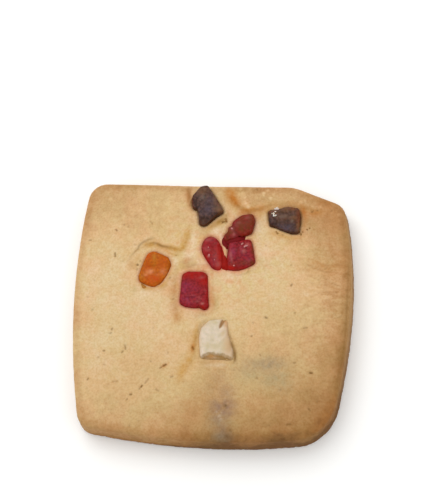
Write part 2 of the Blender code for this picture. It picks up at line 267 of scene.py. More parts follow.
orangeFruit = {
    "orange_fruit": {
        "swell": 0.09, "swellSize": 1.5, "crinkle": 0.035, "sag": 0.06, "soften": 3,
        "creases": (((-15.0, 9.2), (-12.6, 8.8), (-9.8, 9.8)),), "creaseDepth": 0.12, "creaseWidth": 0.6,
        "ledges": (), "lumps": ((-12.4, 7.6, 1.0, 0.12),),
        "glow": ((-12.5, 5.9, 1.5, 1.1, 1.0), (-13.8, 11.2, 0.9, 1.0, 0.7), (-10.6, 9.6, 1.2, 1.2, 0.5),
                 (-14.0, 8.8, 0.8, 0.8, 0.5)),
        "dusk": ((-13.3, 7.6, 0.9, 0.6, 1.0), (-14.2, 7.0, 0.5, 0.4, 0.7), (-10.4, 7.6, 0.7, 0.6, 0.8),
                 (-11.8, 6.9, 0.6, 0.3, 0.6)),
        "tawny": ((-15.6, 6.2, 0.8, 0.7, 0.6), (-9.0, 9.0, 0.45, 2.0, 0.9), (-15.0, 9.4, 0.35, 2.0, 0.7),
                  (-10.6, 11.4, 1.4, 0.4, 0.5), (-11.0, 4.9, 1.4, 0.4, 0.7)),
        "bloom": ((-12.5, 10.9, 0.4, 1.0, 0.7), (-12.4, 9.4, 0.35, 0.6, 0.4), (-15.2, 6.6, 0.5, 0.4, 0.5)),
    },
}
darkFruit = {
    "dark_fruit_back": {
        "swell": 0.10, "swellSize": 1.7, "crinkle": 0.055, "sag": 0.06, "soften": 2,
        "creases": (((-3.5, 20.6), (-3.2, 22.6), (-4.6, 25.4)),), "creaseDepth": 0.26, "creaseWidth": 0.45,
        "ledges": ((((-2.9, 19.8), (-0.6, 19.9), (1.4, 20.6), (4.0, 21.8)), 0.34, 0.5, 0.75),), "lumps": (),
        "glow": ((-4.5, 24.0, 0.5, 1.5, 0.9), (2.0, 23.4, 0.25, 1.8, 0.4), (-2.2, 18.6, 0.5, 0.7, 0.4)),
        "dusk": ((-0.8, 21.6, 1.4, 1.2, 0.9), (0.4, 23.4, 1.4, 1.4, 0.6)),
        "tawny": ((-1.8, 26.2, 1.6, 1.0, 0.7), (1.2, 24.2, 0.6, 2.2, 0.5), (2.2, 21.6, 1.0, 0.8, 1.0),
                  (-1.2, 18.8, 0.8, 0.8, 0.2)),
        "bloom": ((-1.6, 24.6, 0.9, 0.7, 0.4), (1.8, 21.8, 0.8, 0.5, 0.3)),
    },
    "dark_fruit_right": {
        "swell": 0.10, "swellSize": 1.7, "crinkle": 0.055, "sag": 0.03, "soften": 2,
        "creases": (((13.4, 17.4), (16.2, 18.0), (19.6, 16.9)),), "creaseDepth": 0.12, "creaseWidth": 0.7,
        "ledges": (), "lumps": ((18.6, 18.9, 1.0, 0.12),),
        "glow": ((19.7, 18.6, 0.7, 2.8, 0.65), (13.2, 20.6, 0.5, 0.5, 0.7), (18.6, 21.0, 1.4, 0.4, 0.6)),
        "dusk": ((16.6, 16.8, 1.8, 0.9, 1.0), (13.6, 18.4, 0.7, 0.8, 0.6), (18.6, 16.6, 0.8, 0.8, 0.5)),
        "tawny": ((17.0, 21.0, 2.0, 0.8, 0.8), (18.6, 18.8, 0.8, 0.8, 0.7), (14.4, 20.4, 1.2, 0.7, 0.6),
                  (19.6, 16.8, 0.6, 1.2, 0.8), (16.4, 19.2, 2.2, 1.0, 0.35)),
        "bloom": ((16.2, 19.4, 1.0, 0.5, 0.4), (18.2, 18.2, 0.3, 0.3, 0.7)),
    },
}
cashew = {
    "swell": 0.07, "swellSize": 2.6, "crinkle": 0.02, "sag": -0.08, "soften": 6,
    "slot": ((3.1, -3.4, 0.48), (2.5, -4.6, 0.36), (1.9, -5.9, 0.14)),  # x, y, half width
    "slotDepth": 0.32,
    "ridge": ((2.8, -6.6), (1.4, -8.0), (-0.2, -9.6)), "ridgeHeight": -0.10, "ridgeWidth": 0.5,
    "brokenEdge": ((-3.4, -12.2), (-2.3, -11.9), (-1.0, -11.2), (0.2, -10.9), (1.5, -11.1), (2.7, -11.2),
                   (3.7, -11.7), (4.6, -12.3), (5.8, -12.9)),
    "brokenDrop": 0.44, "brokenRough": 0.15, "brokenRoughSize": 0.6,
    "teeth": ((0.8, 0.34), (0.3, 0.12)),  # of the broken edge: mm along it and across
    # spots again: brown skin; creamier flesh and rosier edges, both partly painted shade on its lower body
    # and right side; and painted shade
    "skin": ((3.5, -4.2, 0.55, 1.3, 1.0), (0.3, -11.7, 0.9, 0.4, 0.8)),
    "cream": ((0.9, -4.2, 1.4, 0.9, 0.8), (-0.4, -9.4, 0.8, 1.2, 0.8), (0.6, -7.6, 0.6, 0.8, 0.5),
              (1.2, -9.7, 2.0, 1.1, 0.8), (3.0, -9.6, 1.0, 1.8, 0.9), (2.4, -7.2, 0.9, 1.0, 0.5)),
    "blush": ((-2.5, -7.4, 0.5, 3.4, 0.8), (3.9, -9.4, 1.0, 3.8, 1.0), (2.8, -6.6, 0.5, 1.0, 0.6),
              (-1.4, -4.4, 1.0, 0.8, 0.6), (-2.6, -9.8, 0.6, 1.6, 0.6)),
    "shade": ((4.0, -6.4, 0.45, 1.4, 0.8), (4.5, -9.0, 0.50, 1.8, 0.9), (4.9, -11.4, 0.5, 1.2, 0.8),
              (-2.9, -9.4, 0.3, 2.2, 0.4), (-1.8, -4.8, 0.5, 0.7, 0.5)),
}
voxel = 0.15                          # mm, the finest dent that the fruit keeps
crinkles = ((0.7, 1.0), (0.35, 0.6))  # fine wrinkles: mm across, and share of the piece's crinkle


def remeshed(name, soften):
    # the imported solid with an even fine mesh, ready to be dented
    copy = bpy.data.objects.new(name + "_copy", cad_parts[name].data.copy())
    bpy.context.scene.collection.objects.link(copy)
    remesh = copy.modifiers.new("even mesh", "REMESH")
    remesh.mode = "VOXEL"
    remesh.voxel_size = voxel * mm
    smooth = copy.modifiers.new("soft corners", "SMOOTH")
    smooth.iterations = soften
    smooth.factor = 0.5
    ready = copy.evaluated_get(bpy.context.evaluated_depsgraph_get())
    mesh = bpy.data.meshes.new_from_object(ready)
    mesh.name = name
    bpy.data.objects.remove(copy)
    return mesh


def dented(mesh, spec, layer):
    # swelling, fine wrinkles and a slightly sunk top, pushed along the surface's own normals
    points, normals = readPoints(mesh) / mm, readPoints(mesh, "normal")
    flat = normals[:, 2]
    middle = (points.max(0) + points.min(0)) / 2
    half = (points.max(0) - points.min(0)) / 2
    inward = np.clip(1 - np.hypot(*((points - middle) / half)[:, :2].T), 0, 1)
    push = spec["swell"] * noiseAt(points, spec["swellSize"], layer)
    for finer, (size, share) in enumerate(crinkles, 1):
        push += spec["crinkle"] * share * noiseAt(points, size, layer + finer)
    push -= spec["sag"] * ease(0.0, 0.6, inward) * ease(0.5, 0.95, flat)
    return points, normals, push


def shapeFruit(name, spec, layer):
    mesh = remeshed(name, spec["soften"])
    points, normals, push = dented(mesh, spec, layer)
    xy = points[:, :2]
    top = ease(0.3, 0.8, normals[:, 2])
    # the hollow mask is painted shade: darker in the creases and along and past each ledge
    hollow = np.zeros(len(points))
    for crease in spec["creases"]:
        distance, _, share = alongLine(xy, curveThrough(crease))
        push -= spec["creaseDepth"] * bump(distance, spec["creaseWidth"]) * fadeEnds(share, 0.1, 0.1)
        hollow += bump(distance, spec["creaseWidth"] * 0.7) * min(1.0, spec["creaseDepth"] / 0.2)
    points = points + normals * push[:, None]
    for line, fall, width, dim in spec["ledges"]:  # beyond a ledge the face slopes away
        _, signed, _ = alongLine(xy, curveThrough(line))
        points[:, 2] -= top * fall * ease(-width / 2, width * 2, signed)
        hollow += 0.3 * bump(signed, width * 0.4) + dim * ease(0.0, width, signed)
    for x, y, reach, height in spec["lumps"]:
        points += normals * (height * bump(np.hypot(xy[:, 0] - x, xy[:, 1] - y), reach))[:, None]
    writePoints(mesh, points)
    patchy = 0.85 + 0.5 * noiseAt(points, 0.9, layer + 3)
    # rim: painted shade, the steep sides drawn darker than the top
    storeMask(mesh, "rim", 1 - ease(0.25, 0.8, normals[:, 2]))
    storeMask(mesh, "hollow", hollow)
    # bloom spots are sugar bloom, and some of them painted highlights
    for mask in ("glow", "dusk", "tawny", "bloom"):
        storeMask(mesh, mask, spotMask(xy, spec[mask]) * patchy)
    return mesh


def shapeCashew(name, layer):
    mesh = remeshed(name, cashew["soften"])
    points, normals, push = dented(mesh, cashew, layer)
    xy = points[:, :2]
    top = ease(0.3, 0.8, normals[:, 2])
    slotLine = curveThrough(cashew["slot"])
    distance, _, share = alongLine(xy, slotLine)
    slot = bump(distance, valuesAlong(share, slotLine)[0]) * ease(1.0, 0.7, share)
    distance, _, share = alongLine(xy, curveThrough(cashew["ridge"]))
    ridge = bump(distance, cashew["ridgeWidth"]) * fadeEnds(share)
    _, ragged, _ = alongLine(xy, curveThrough(cashew["brokenEdge"]))
    for finer, (size, depth) in enumerate(cashew["teeth"], 4):
        ragged += depth * noiseAt(points, size, layer + finer)
    broken = ease(-0.35, 0.65, ragged)
    points = points + normals * push[:, None]
    points[:, 2] += top * (cashew["ridgeHeight"] * ridge - cashew["slotDepth"] * slot)
    rough = cashew["brokenRough"] * noiseAt(points, cashew["brokenRoughSize"], layer + 6)
    points[:, 2] -= top * broken * (cashew["brokenDrop"] + rough)
    writePoints(mesh, points)
    # rim: painted shade, the kernel's steep sides drawn darker than its top
    storeMask(mesh, "rim", 1 - ease(0.2, 0.8, normals[:, 2]))
    # slot: the cleft painted darker, a painted shade
    storeMask(mesh, "slot", np.clip(slot * 1.5, 0, 1) * top)
    # toasted: browned where it broke, and partly painted shade on that sunk face
    storeMask(mesh, "toasted", broken * (1.0 + 0.4 * noiseAt(points, 0.7, layer + 7)))
    # a dark line along the broken edge, a painted shade where the nut meets the dough
    storeMask(mesh, "edgeLine", bump(ragged - 0.05, 0.14))
    # cream and blush spots are partly, and shade spots wholly, painted shade
    for mask in ("skin", "cream", "blush", "shade"):
        storeMask(mesh, mask, spotMask(xy, cashew[mask]))
    return mesh


# candied papaya, boiled in syrup and dyed: a dense wet gel, so light goes in and comes out
# of its thin edges bright, while its broad faces stay dark and carry a dull sugar bloom
papaya = {
    "ior": 1.40, "roughness": 0.42, "specular": 0.05, "coat": 0.05, "coatRoughness": 0.10,
    "through": 0.3,              # share of the light that goes in
    "depth": 0.8,                # mm that it travels inside
    "reach": (1.0, 0.22, 0.10),  # red light goes deepest
    "pittingSize": 0.55,         # mm, the fine pitting of a cut face
    "pittingDepth": 0.11,        # mm
    "bloomSize": 1.3,            # mm, patches of sugar bloom
    "masks": (("dusk", 0.9), ("glow", 0.95), ("hollow", 0.55), ("rim", 0.5), ("tawny", 0.9),
              ("bloom", 0.8)),
}
redPapaya = {
    "face": "#932428", "deep": "#6c1317", "glow": "#9d160b", "dusk": "#8c2f4a", "tawny": "#683214",
    "hollow": "#520e11", "rim": "#84160f", "bloom": "#c07a72",
}
orangePapaya = {
    "face": "#b96216", "deep": "#a14d0a", "glow": "#b5460e", "dusk": "#d49066", "tawny": "#98500e",
    "hollow": "#9a4508", "rim": "#924a12", "bloom": "#a87c2c",
}
darkPapaya = {
    "face": "#5c433b", "deep": "#3c2924", "glow": "#7c3c10", "dusk": "#524650", "tawny": "#7a5434",
    "hollow": "#281611", "rim": "#543010", "bloom": "#7c6b60",
}


def candiedPapaya(name, tones):
    material, tree = newMaterial(name)
    place = addNode(tree, "TexCoord").outputs["Object"]
    bloom = addNode(tree, "TexNoise", {"Scale": 1 / (papaya["bloomSize"] * mm), "Detail": 3.0},
                    {"Vector": place}).outputs["Fac"]
    pitting = addNode(tree, "TexNoise", {"Scale": 1 / (papaya["pittingSize"] * mm), "Detail": 4.0},
                      {"Vector": place}).outputs["Fac"]
    pitted = addNode(tree, "MapRange", {"From Min": 0.38, "From Max": 0.62}, {"Value": pitting}).outputs[0]
    deep, face = hexLinear(tones["deep"]), hexLinear(tones["face"])
    colour = addNode(tree, "Mix", {"data_type": "RGBA", 6: deep, 7: face}, {0: pitted}).outputs[2]
    dusty = addNode(tree, "MapRange", {"From Min": 0.35, "From Max": 0.62, "To Min": 0.45},
                    {"Value": bloom}).outputs[0]
    sugared = addNode(tree, "MapRange", {"From Min": 0.56, "From Max": 0.74, "To Max": 0.18},
                      {"Value": bloom}).outputs[0]
    colour = addNode(tree, "Mix", {"data_type": "RGBA", 7: hexLinear(tones["bloom"])},
                     {0: sugared, 6: colour}).outputs[2]
    colour = paintOver(tree, colour, tones, papaya["masks"], {"dusk": dusty})
    relief = addNode(tree, "Bump", {"Strength": 0.6, "Distance": papaya["pittingDepth"] * mm},
                     {"Height": pitting}).outputs[0]
    shader = addNode(tree, "BsdfPrincipled", {
        "IOR": papaya["ior"], "Roughness": papaya["roughness"], "Specular IOR Level": papaya["specular"],
        "Coat Weight": papaya["coat"], "Coat Roughness": papaya["coatRoughness"],
        "Subsurface Weight": papaya["through"], "Subsurface Radius": papaya["reach"],
        "Subsurface Scale": papaya["depth"] * mm,
    }, {"Base Color": colour, "Normal": relief})
    addNode(tree, "OutputMaterial", None, {"Surface": shader.outputs[0]})
    return material


# cashew kernel, broken and baked: waxy, fine-grained and pale, toasted brown where it broke, with painted
# shade deepening that sunk broken face
kernel = {
    "ior": 1.45, "roughness": 0.6, "specular": 0.2,
    "through": 0.3, "depth": 0.7, "reach": (1.0, 0.8, 0.5),  # light inside, as in the papaya
    "grainSize": 0.9, "grainDepth": 0.08,                    # mm, the fine grain of its flesh
    "pale": "#d4c3ae", "chalk": "#c6b79e", "cream": "#bdac84", "blush": "#c29d72", "rim": "#c8a47a",
    "skin": "#c08e58", "toasted": "#94703a", "slot": "#956a38", "edgeLine": "#9a7a44", "shade": "#a88350",
    "masks": (("cream", 0.8), ("blush", 0.7), ("rim", 0.4), ("toasted", 0.95), ("skin", 0.8),
              ("shade", 0.8), ("slot", 0.9), ("edgeLine", 0.5)),
}


def cashewKernel():
    material, tree = newMaterial("cashewKernel")
    place = addNode(tree, "TexCoord").outputs["Object"]
    grain = addNode(tree, "TexNoise", {"Scale": 1 / (kernel["grainSize"] * mm), "Detail": 4.0},
                    {"Vector": place}).outputs["Fac"]
    colour = addNode(tree, "ValToRGB", {"stops": ((0.35, kernel["chalk"]), (0.6, kernel["pale"]))},
                     {"Fac": grain}).outputs[0]
    colour = paintOver(tree, colour, kernel, kernel["masks"])
    relief = addNode(tree, "Bump", {"Strength": 0.35, "Distance": kernel["grainDepth"] * mm},
                     {"Height": grain}).outputs[0]
    shader = addNode(tree, "BsdfPrincipled", {
        "IOR": kernel["ior"], "Roughness": kernel["roughness"], "Specular IOR Level": kernel["specular"],
        "Subsurface Weight": kernel["through"], "Subsurface Radius": kernel["reach"],
        "Subsurface Scale": kernel["depth"] * mm,
    }, {"Base Color": colour, "Normal": relief})
    addNode(tree, "OutputMaterial", None, {"Surface": shader.outputs[0]})
    return material


def makeFruit():
    families = (
        (redFruit, "red_fruit", candiedPapaya("candiedPapayaRed", redPapaya)),
        (orangeFruit, "orange_fruit", candiedPapaya("candiedPapayaOrange", orangePapaya)),
        (darkFruit, "dark_fruit", candiedPapaya("candiedPapayaDark", darkPapaya)),
    )
    made = {}
    for family, slot, material in families:
        for name, spec in family.items():
            mesh = shapeFruit(name, spec, 10 + 5 * len(made))
            made[name] = showPiece(name + "_look", mesh, material, slot, name)
    mesh = shapeCashew("cashew_piece", 60)
    made["cashew_piece"] = showPiece("cashew_piece_look", mesh, cashewKernel(), "cashew", "cashew_piece")
    return made


fruit = makeFruit()
print("fruit and nut shaped:", sum(len(p.data.polygons) for p in fruit.values()), "faces")


# the dough

dough = {  # sizes in mm
    "thickness": 7.7, "edgeHeight": 6.9,
    "rollOut": 0.9, "rollDown": 1.1, "flare": 0.7, "footRadius": 0.6, "footHeight": 1.3,
    "cells": 208,                          # across the top
    "rollRings": 7, "wallRings": 8, "footRings": 4,
    "underRings": (0.97, 0.85, 0.6, 0.3),  # shares of the way out, on the underside
    "swell": 0.16, "swellSize": 8.5,
    "rough": ((2.6, 0.050), (0.9, 0.034), (0.42, 0.022)),  # size and height of the top's unevenness
    "blisterSize": 1.2, "blisterHeight": 0.12, "blisterPale": 0.48,
    "blistersFade": (12.0, 18.0),          # from where to where along x they grow fewer
    "wrinkleSize": 1.1, "wrinkleDepth": 0.09, "wrinkleShade": 0.14, "wrinkleReach": 6.0,
    "wrinklesAt": (26.0, 3.0),
    "wallCrumble": 0.07, "wallCrumbleSize": 1.9, "wallGrit": 0.06, "wallGritSize": 0.6,
    "crackSize": 2.4, "crackDepth": 0.10,
    "livelyAt": (2.0, 11.0), "livelyReach": 14.0,  # round the fruit, where its tones vary most
}
# the mesh is finer this near to a piece at that level and to a lip, in mm, and in a pinhole
fine = {"level": 7.6, "byPiece": 0.55, "byLip": 0.7, "inHole": 0.02}
# how brown it is at the least and underneath, and how much browner at its rim, wall and foot;
# the darkening down the wall and at the foot is partly painted shade, most along the front and right
oven = {"least": 0.16, "under": 0.62, "grain": 0.04, "drift": 0.05, "driftSize": 6.0,
        "rim": 0.14, "wall": 0.20, "foot": 0.13, "footFrontShade": 0.12, "footRightShade": 0.20}
# where the skin tore and the dough beyond it sank, on the right of each line. After each place
# come how far it sank and the lip stood up, in mm, how honeyed the lip is and how dark the painted shadow
# along it is
lips = (
    {"line": ((-19.2, 9.6, 0.00, 0.00, 0.0, 0.00), (-17.7, 11.9, 0.06, 0.03, 0.0, 0.25),
              (-16.3, 13.4, 0.12, 0.05, 0.1, 0.50), (-15.9, 14.2, 0.12, 0.05, 0.1, 0.55),
              (-14.9, 14.9, 0.12, 0.05, 0.1, 0.55), (-13.4, 15.6, 0.06, 0.03, 0.0, 0.45),
              (-12.4, 15.9, 0.00, 0.00, 0.0, 0.00)),
     "recover": 2.5},
    {"line": ((-15.7, 13.2, 0.00, 0.00, 0.0, 0.00), (-14.7, 14.1, 0.12, 0.10, 0.9, 0.10),
              (-13.4, 14.5, 0.20, 0.14, 1.0, 0.35), (-12.1, 14.3, 0.24, 0.14, 1.0, 0.60),
              (-11.1, 13.8, 0.24, 0.14, 0.7, 0.80), (-9.9, 13.5, 0.24, 0.16, 0.8, 0.55),
              (-8.7, 13.3, 0.24, 0.18, 1.0, 0.35), (-7.2, 12.9, 0.24, 0.20, 1.0, 0.10),
              (-6.4, 13.2, 0.24, 0.20, 1.0, 0.00), (-5.7, 14.6, 0.22, 0.18, 1.0, 0.00),
              (-5.3, 15.9, 0.18, 0.14, 0.9, 0.00), (-5.1, 17.5, 0.10, 0.08, 0.6, 0.00),
              (-5.0, 19.4, 0.00, 0.00, 0.0, 0.00)),
     "recover": 5.0},
    {"line": ((3.0, 28.2, 0.00, 0.00, 0.0, 0.00), (3.6, 26.8, 0.08, 0.10, 0.0, 0.00),
              (4.5, 25.4, 0.16, 0.14, 0.0, 0.00), (5.3, 23.9, 0.22, 0.16, 0.1, 0.05),
              (6.3, 22.7, 0.26, 0.18, 0.5, 0.20), (8.1, 21.6, 0.30, 0.18, 0.8, 0.20),
              (10.4, 21.8, 0.26, 0.16, 0.7, 0.20), (12.2, 22.5, 0.20, 0.12, 0.4, 0.10),
              (14.8, 22.9, 0.16, 0.10, 0.3, 0.06), (17.8, 22.9, 0.16, 0.10, 0.3, 0.06),
              (20.8, 21.8, 0.16, 0.12, 0.4, 0.15), (23.6, 21.0, 0.10, 0.08, 0.4, 0.10),
              (25.6, 20.4, 0.00, 0.00, 0.0, 0.00)),
     "recover": 6.0},
)
lipBead = {"width": 0.75, "honeyWidth": 0.70, "darkWidth": 0.32, "wander": 0.16, "wanderSize": 1.4}
# syrup and fat that soaked in along a line, and, under shade, painted shade along a line: place, half
# width, strength
streaks = {
    "amber": (
        ((3.5, 27.8, 0.9, 0.2), (4.1, 26.4, 1.1, 0.7), (4.7, 25.4, 1.1, 1.0), (5.5, 23.9, 1.0, 1.0),
         (6.3, 22.9, 0.8, 0.8), (6.9, 22.4, 0.5, 0.3)),
        ((6.4, 21.0, 0.7, 0.4), (7.3, 21.4, 1.0, 0.8), (8.6, 21.5, 0.8, 0.75), (9.8, 21.9, 0.8, 0.6),
         (11.6, 22.2, 0.8, 0.5), (13.0, 22.4, 0.6, 0.2)),
        ((20.4, 22.2, 0.7, 0.3), (20.8, 20.8, 0.8, 0.95), (21.1, 19.0, 0.6, 0.5), (20.6, 15.6, 0.3, 0.2)),
        ((21.6, 20.4, 0.7, 0.3), (23.2, 20.4, 0.9, 0.55), (25.0, 20.6, 0.6, 0.2)),
        ((20.0, -29.0, 1.6, 0.1), (23.4, -27.0, 1.8, 0.3), (25.4, -23.4, 1.4, 0.25),
         (26.4, -20.0, 1.0, 0.1)),
        ((-10.5, -13.7, 0.3, 0.3), (-9.9, -13.4, 0.42, 0.8), (-9.2, -13.0, 0.3, 0.3)),
        ((-3.4, -8.4, 0.3, 0.2), (-3.8, -9.6, 0.45, 0.9), (-3.6, -10.8, 0.3, 0.3)),
        ((-7.3, 7.6, 0.8, 0.1), (-7.9, 4.4, 1.1, 0.48), (-7.9, 0.8, 1.1, 0.42), (-7.3, -2.8, 0.9, 0.5),
         (-6.8, -4.8, 0.5, 0.1)),
        # this row, along the cube's right side, is painted shade
        ((0.2, 4.4, 0.4, 0.3), (0.4, 1.6, 0.6, 0.6), (0.6, -0.2, 0.6, 0.5), (0.2, -2.0, 0.4, 0.2)),
        ((-5.3, 27.6, 0.5, 0.3), (-5.0, 25.6, 0.7, 0.8), (-4.8, 23.4, 0.6, 0.6), (-4.3, 21.9, 0.4, 0.3)),
        ((20.4, 9.4, 1.4, 0.1), (22.7, 8.4, 1.9, 0.38), (26.0, 7.0, 2.2, 0.34), (28.6, 8.6, 1.8, 0.2)),
        ((23.6, 25.0, 2.0, 0.2), (26.4, 21.6, 2.2, 0.25), (27.8, 17.6, 1.8, 0.15)),
    ),
    "honey": (
        ((3.6, 27.4, 1.2, 0.2), (4.5, 25.6, 1.7, 0.8), (5.3, 23.6, 1.4, 0.8), (6.6, 21.8, 1.0, 0.3)),
        ((-7.0, 12.9, 0.6, 0.6), (-6.2, 13.6, 0.7, 0.9), (-5.7, 15.4, 0.8, 0.9), (-5.3, 17.4, 0.7, 0.5)),
        ((-10.4, 12.9, 0.3, 0.5), (-9.2, 12.2, 0.32, 0.9), (-8.1, 11.6, 0.32, 0.9), (-7.2, 11.7, 0.3, 0.5)),
        ((-2.9, -4.8, 0.5, 0.5), (-3.1, -7.0, 0.7, 0.9), (-3.8, -10.0, 1.0, 0.8), (-4.8, -13.0, 1.2, 0.8),
         (-5.9, -14.6, 1.3, 0.8), (-6.8, -16.8, 0.8, 0.3)),
        ((8.6, 20.4, 1.0, 0.5), (12.0, 21.0, 0.8, 0.5), (14.0, 22.6, 0.6, 0.4)),
        ((-0.4, 17.6, 0.5, 0.5), (1.2, 18.6, 0.8, 1.0), (2.8, 19.6, 0.8, 1.0), (4.0, 20.9, 0.5, 0.4)),
        ((12.4, 16.0, 0.5, 0.2), (15.0, 15.6, 0.6, 0.7), (17.8, 14.6, 0.5, 0.6), (20.4, 14.8, 0.5, 0.3)),
        ((-15.6, 12.6, 0.3, 0.2), (-16.6, 10.6, 0.5, 0.3), (-17.2, 8.8, 0.5, 0.2)),
        ((-15.8, 5.8, 0.35, 0.3), (-14.6, 4.2, 0.60, 0.9), (-13.0, 3.8, 0.50, 0.6), (-11.7, 4.3, 0.45, 0.5),
         (-10.5, 4.5, 0.60, 0.9), (-9.8, 5.5, 0.50, 0.7), (-8.9, 7.4, 0.45, 0.5), (-8.5, 9.2, 0.45, 0.5),
         (-8.8, 11.0, 0.40, 0.2)),
    ),
    "shade": (
        ((-5.2, 27.6, 0.45, 0.4), (-5.0, 26.4, 0.50, 0.6), (-4.9, 25.2, 0.45, 0.6), (-4.7, 23.4, 0.4, 0.3)),
        ((-0.5, -3.5, 0.3, 0.1), (-1.6, -4.1, 0.45, 0.4), (-2.4, -5.2, 0.4, 0.4), (-2.7, -6.6, 0.4, 0.3)),
        ((30.2, 10.0, 0.24, 0.1), (30.0, 6.0, 0.26, 0.4), (29.7, 2.4, 0.28, 0.5), (29.4, -1.0, 0.28, 0.6),
         (29.1, -4.1, 0.28, 0.55), (28.8, -7.0, 0.26, 0.45), (28.5, -9.6, 0.26, 0.5),
         (27.9, -12.5, 0.26, 0.55), (27.0, -16.2, 0.26, 0.5), (26.3, -18.9, 0.22, 0.2)),
        ((3.8, -5.0, 0.25, 0.2), (4.3, -7.4, 0.36, 0.6), (4.9, -9.6, 0.38, 0.8), (5.3, -11.0, 0.40, 1.0),
         (5.3, -12.6, 0.36, 0.9), (5.0, -13.3, 0.25, 0.3)),
        ((2.4, -22.7, 0.3, 0.1), (3.1, -22.3, 0.5, 0.75), (3.9, -22.0, 0.3, 0.1)),
        ((-2.9, -5.6, 0.3, 0.1), (-3.1, -7.4, 0.35, 0.4), (-3.2, -9.4, 0.35, 0.3), (-3.4, -10.8, 0.3, 0.25),
         (-3.3, -12.2, 0.3, 0.2)),
        ((-5.8, 7.9, 0.25, 0.0), (-3.8, 9.0, 0.28, 0.3), (-1.6, 8.9, 0.25, 0.25), (0.0, 7.8, 0.2, 0.0)),
        ((-0.2, 17.7, 0.3, 0.2), (1.3, 18.7, 0.45, 0.45), (2.8, 19.8, 0.45, 0.5), (3.8, 21.0, 0.3, 0.2)),
        ((2.6, 19.8, 0.2, 0.3), (3.1, 19.1, 0.25, 0.8), (3.6, 18.5, 0.15, 0.4)),
    ),
}
# folds and furrows: how high each stands, how wide it is, and how dark the painted shade along it is
folds = (
    {"line": ((-7.2, 9.6), (-7.8, 4.2), (-7.6, -0.4), (-7.1, -4.0)),
     "height": -0.20, "width": 1.0, "dark": 0.14},
    {"line": ((-7.8, 9.6), (-5.2, 9.3), (-2.2, 9.1), (0.2, 7.2)),
     "height": 0.20, "width": 0.8, "dark": 0.0},
    {"line": ((-7.0, 8.4), (-4.0, 8.5), (-1.0, 8.3)), "height": -0.08, "width": 0.3, "dark": 0.15},
    {"line": ((0.6, -14.5), (1.0, -27.4)), "height": 0.20, "width": 2.6, "dark": 0.0},
    {"line": ((10.9, 13.5), (14.0, 8.1)), "height": 0.16, "width": 2.4, "dark": 0.0},
    {"line": ((-2.6, -5.0), (-3.3, -8.0), (-3.5, -11.6), (-5.4, -15.4)),
     "height": -0.14, "width": 0.7, "dark": 0.10},
    {"line": ((4.8, 7.0), (6.0, 6.3), (8.6, 7.0), (8.9, 8.0)),
     "height": -0.06, "width": 0.3, "dark": 0.20},
    {"line": ((20.0, 8.8), (22.7, 7.6), (25.1, 6.6), (27.6, 6.6)),
     "height": -0.07, "width": 0.34, "dark": 0.24},
    {"line": ((21.4, 9.8), (24.4, 8.6), (27.4, 7.6)), "height": 0.08, "width": 0.45, "dark": 0.0},
    {"line": ((24.2, 5.6), (26.2, 4.2), (28.6, 3.0)), "height": -0.06, "width": 0.25, "dark": 0.26},
    {"line": ((24.6, 2.6), (26.4, 1.2), (28.4, 0.4)), "height": -0.05, "width": 0.25, "dark": 0.22},
    {"line": ((26.4, -2.2), (27.2, -3.6), (28.2, -3.3), (28.4, -2.2)),
     "height": -0.06, "width": 0.22, "dark": 0.34},
)
# pinholes: place, length in mm, turn in degrees, and how dark the painted shade in it is
pinholes = (
    (-9.8, -13.3, 0.8, 25, 0.9), (-10.6, -13.8, 0.5, 30, 0.6), (-14.7, -17.7, 0.5, 55, 0.9),
    (-15.1, -18.2, 0.4, 60, 0.5), (-17.0, -19.4, 0.5, 10, 0.8), (-17.8, -20.4, 0.4, 60, 0.5),
    (22.7, 20.8, 0.4, 20, 0.6), (23.9, 21.0, 0.3, 0, 0.5), (-23.2, -9.7, 0.4, 0, 0.7),
    (-18.5, -9.1, 1.0, 100, 0.6), (-19.1, -10.1, 0.5, 50, 0.6), (-21.6, -4.9, 0.5, 70, 0.6),
    (-21.9, -5.8, 0.4, 40, 0.5), (-26.5, -15.8, 0.5, 60, 0.6), (-11.3, -18.6, 0.9, -35, 0.4),
    (-8.2, -15.8, 0.6, 15, 0.5), (-12.8, -12.4, 0.4, -50, 0.4), (12.1, -3.4, 0.5, -15, 0.8),
    (8.9, -7.4, 0.4, 50, 0.6), (21.3, -15.6, 0.6, -5, 1.0), (17.9, -13.4, 0.5, 0, 0.5),
    (20.7, -23.3, 0.6, -50, 0.6), (16.4, -26.3, 0.9, 5, 0.6), (3.3, -22.2, 0.3, 40, 0.8),
    (17.7, 3.7, 0.5, 60, 0.7), (-21.4, 18.1, 0.5, -50, 0.7), (-27.4, 16.0, 0.6, 0, 0.5),
    (-21.5, 12.2, 1.0, 95, 0.8), (-16.3, 9.6, 0.4, -30, 1.0), (-16.4, 8.5, 0.4, 90, 0.5),
    (-20.4, -16.5, 1.1, 5, 0.4), (-13.6, -16.6, 1.3, 55, 0.4), (20.4, -5.9, 0.9, 5, 0.5),
    (-3.7, -9.7, 0.7, -65, 0.8), (8.4, 7.4, 1.2, 75, 0.35), (-13.4, 19.5, 0.8, -50, 0.35),
)
pinhole = {"width": 0.20, "depth": 0.30,
           "scattered": 46, "scatteredSize": (0.18, 0.45), "scatteredDark": (0.2, 0.5), "within": 28}
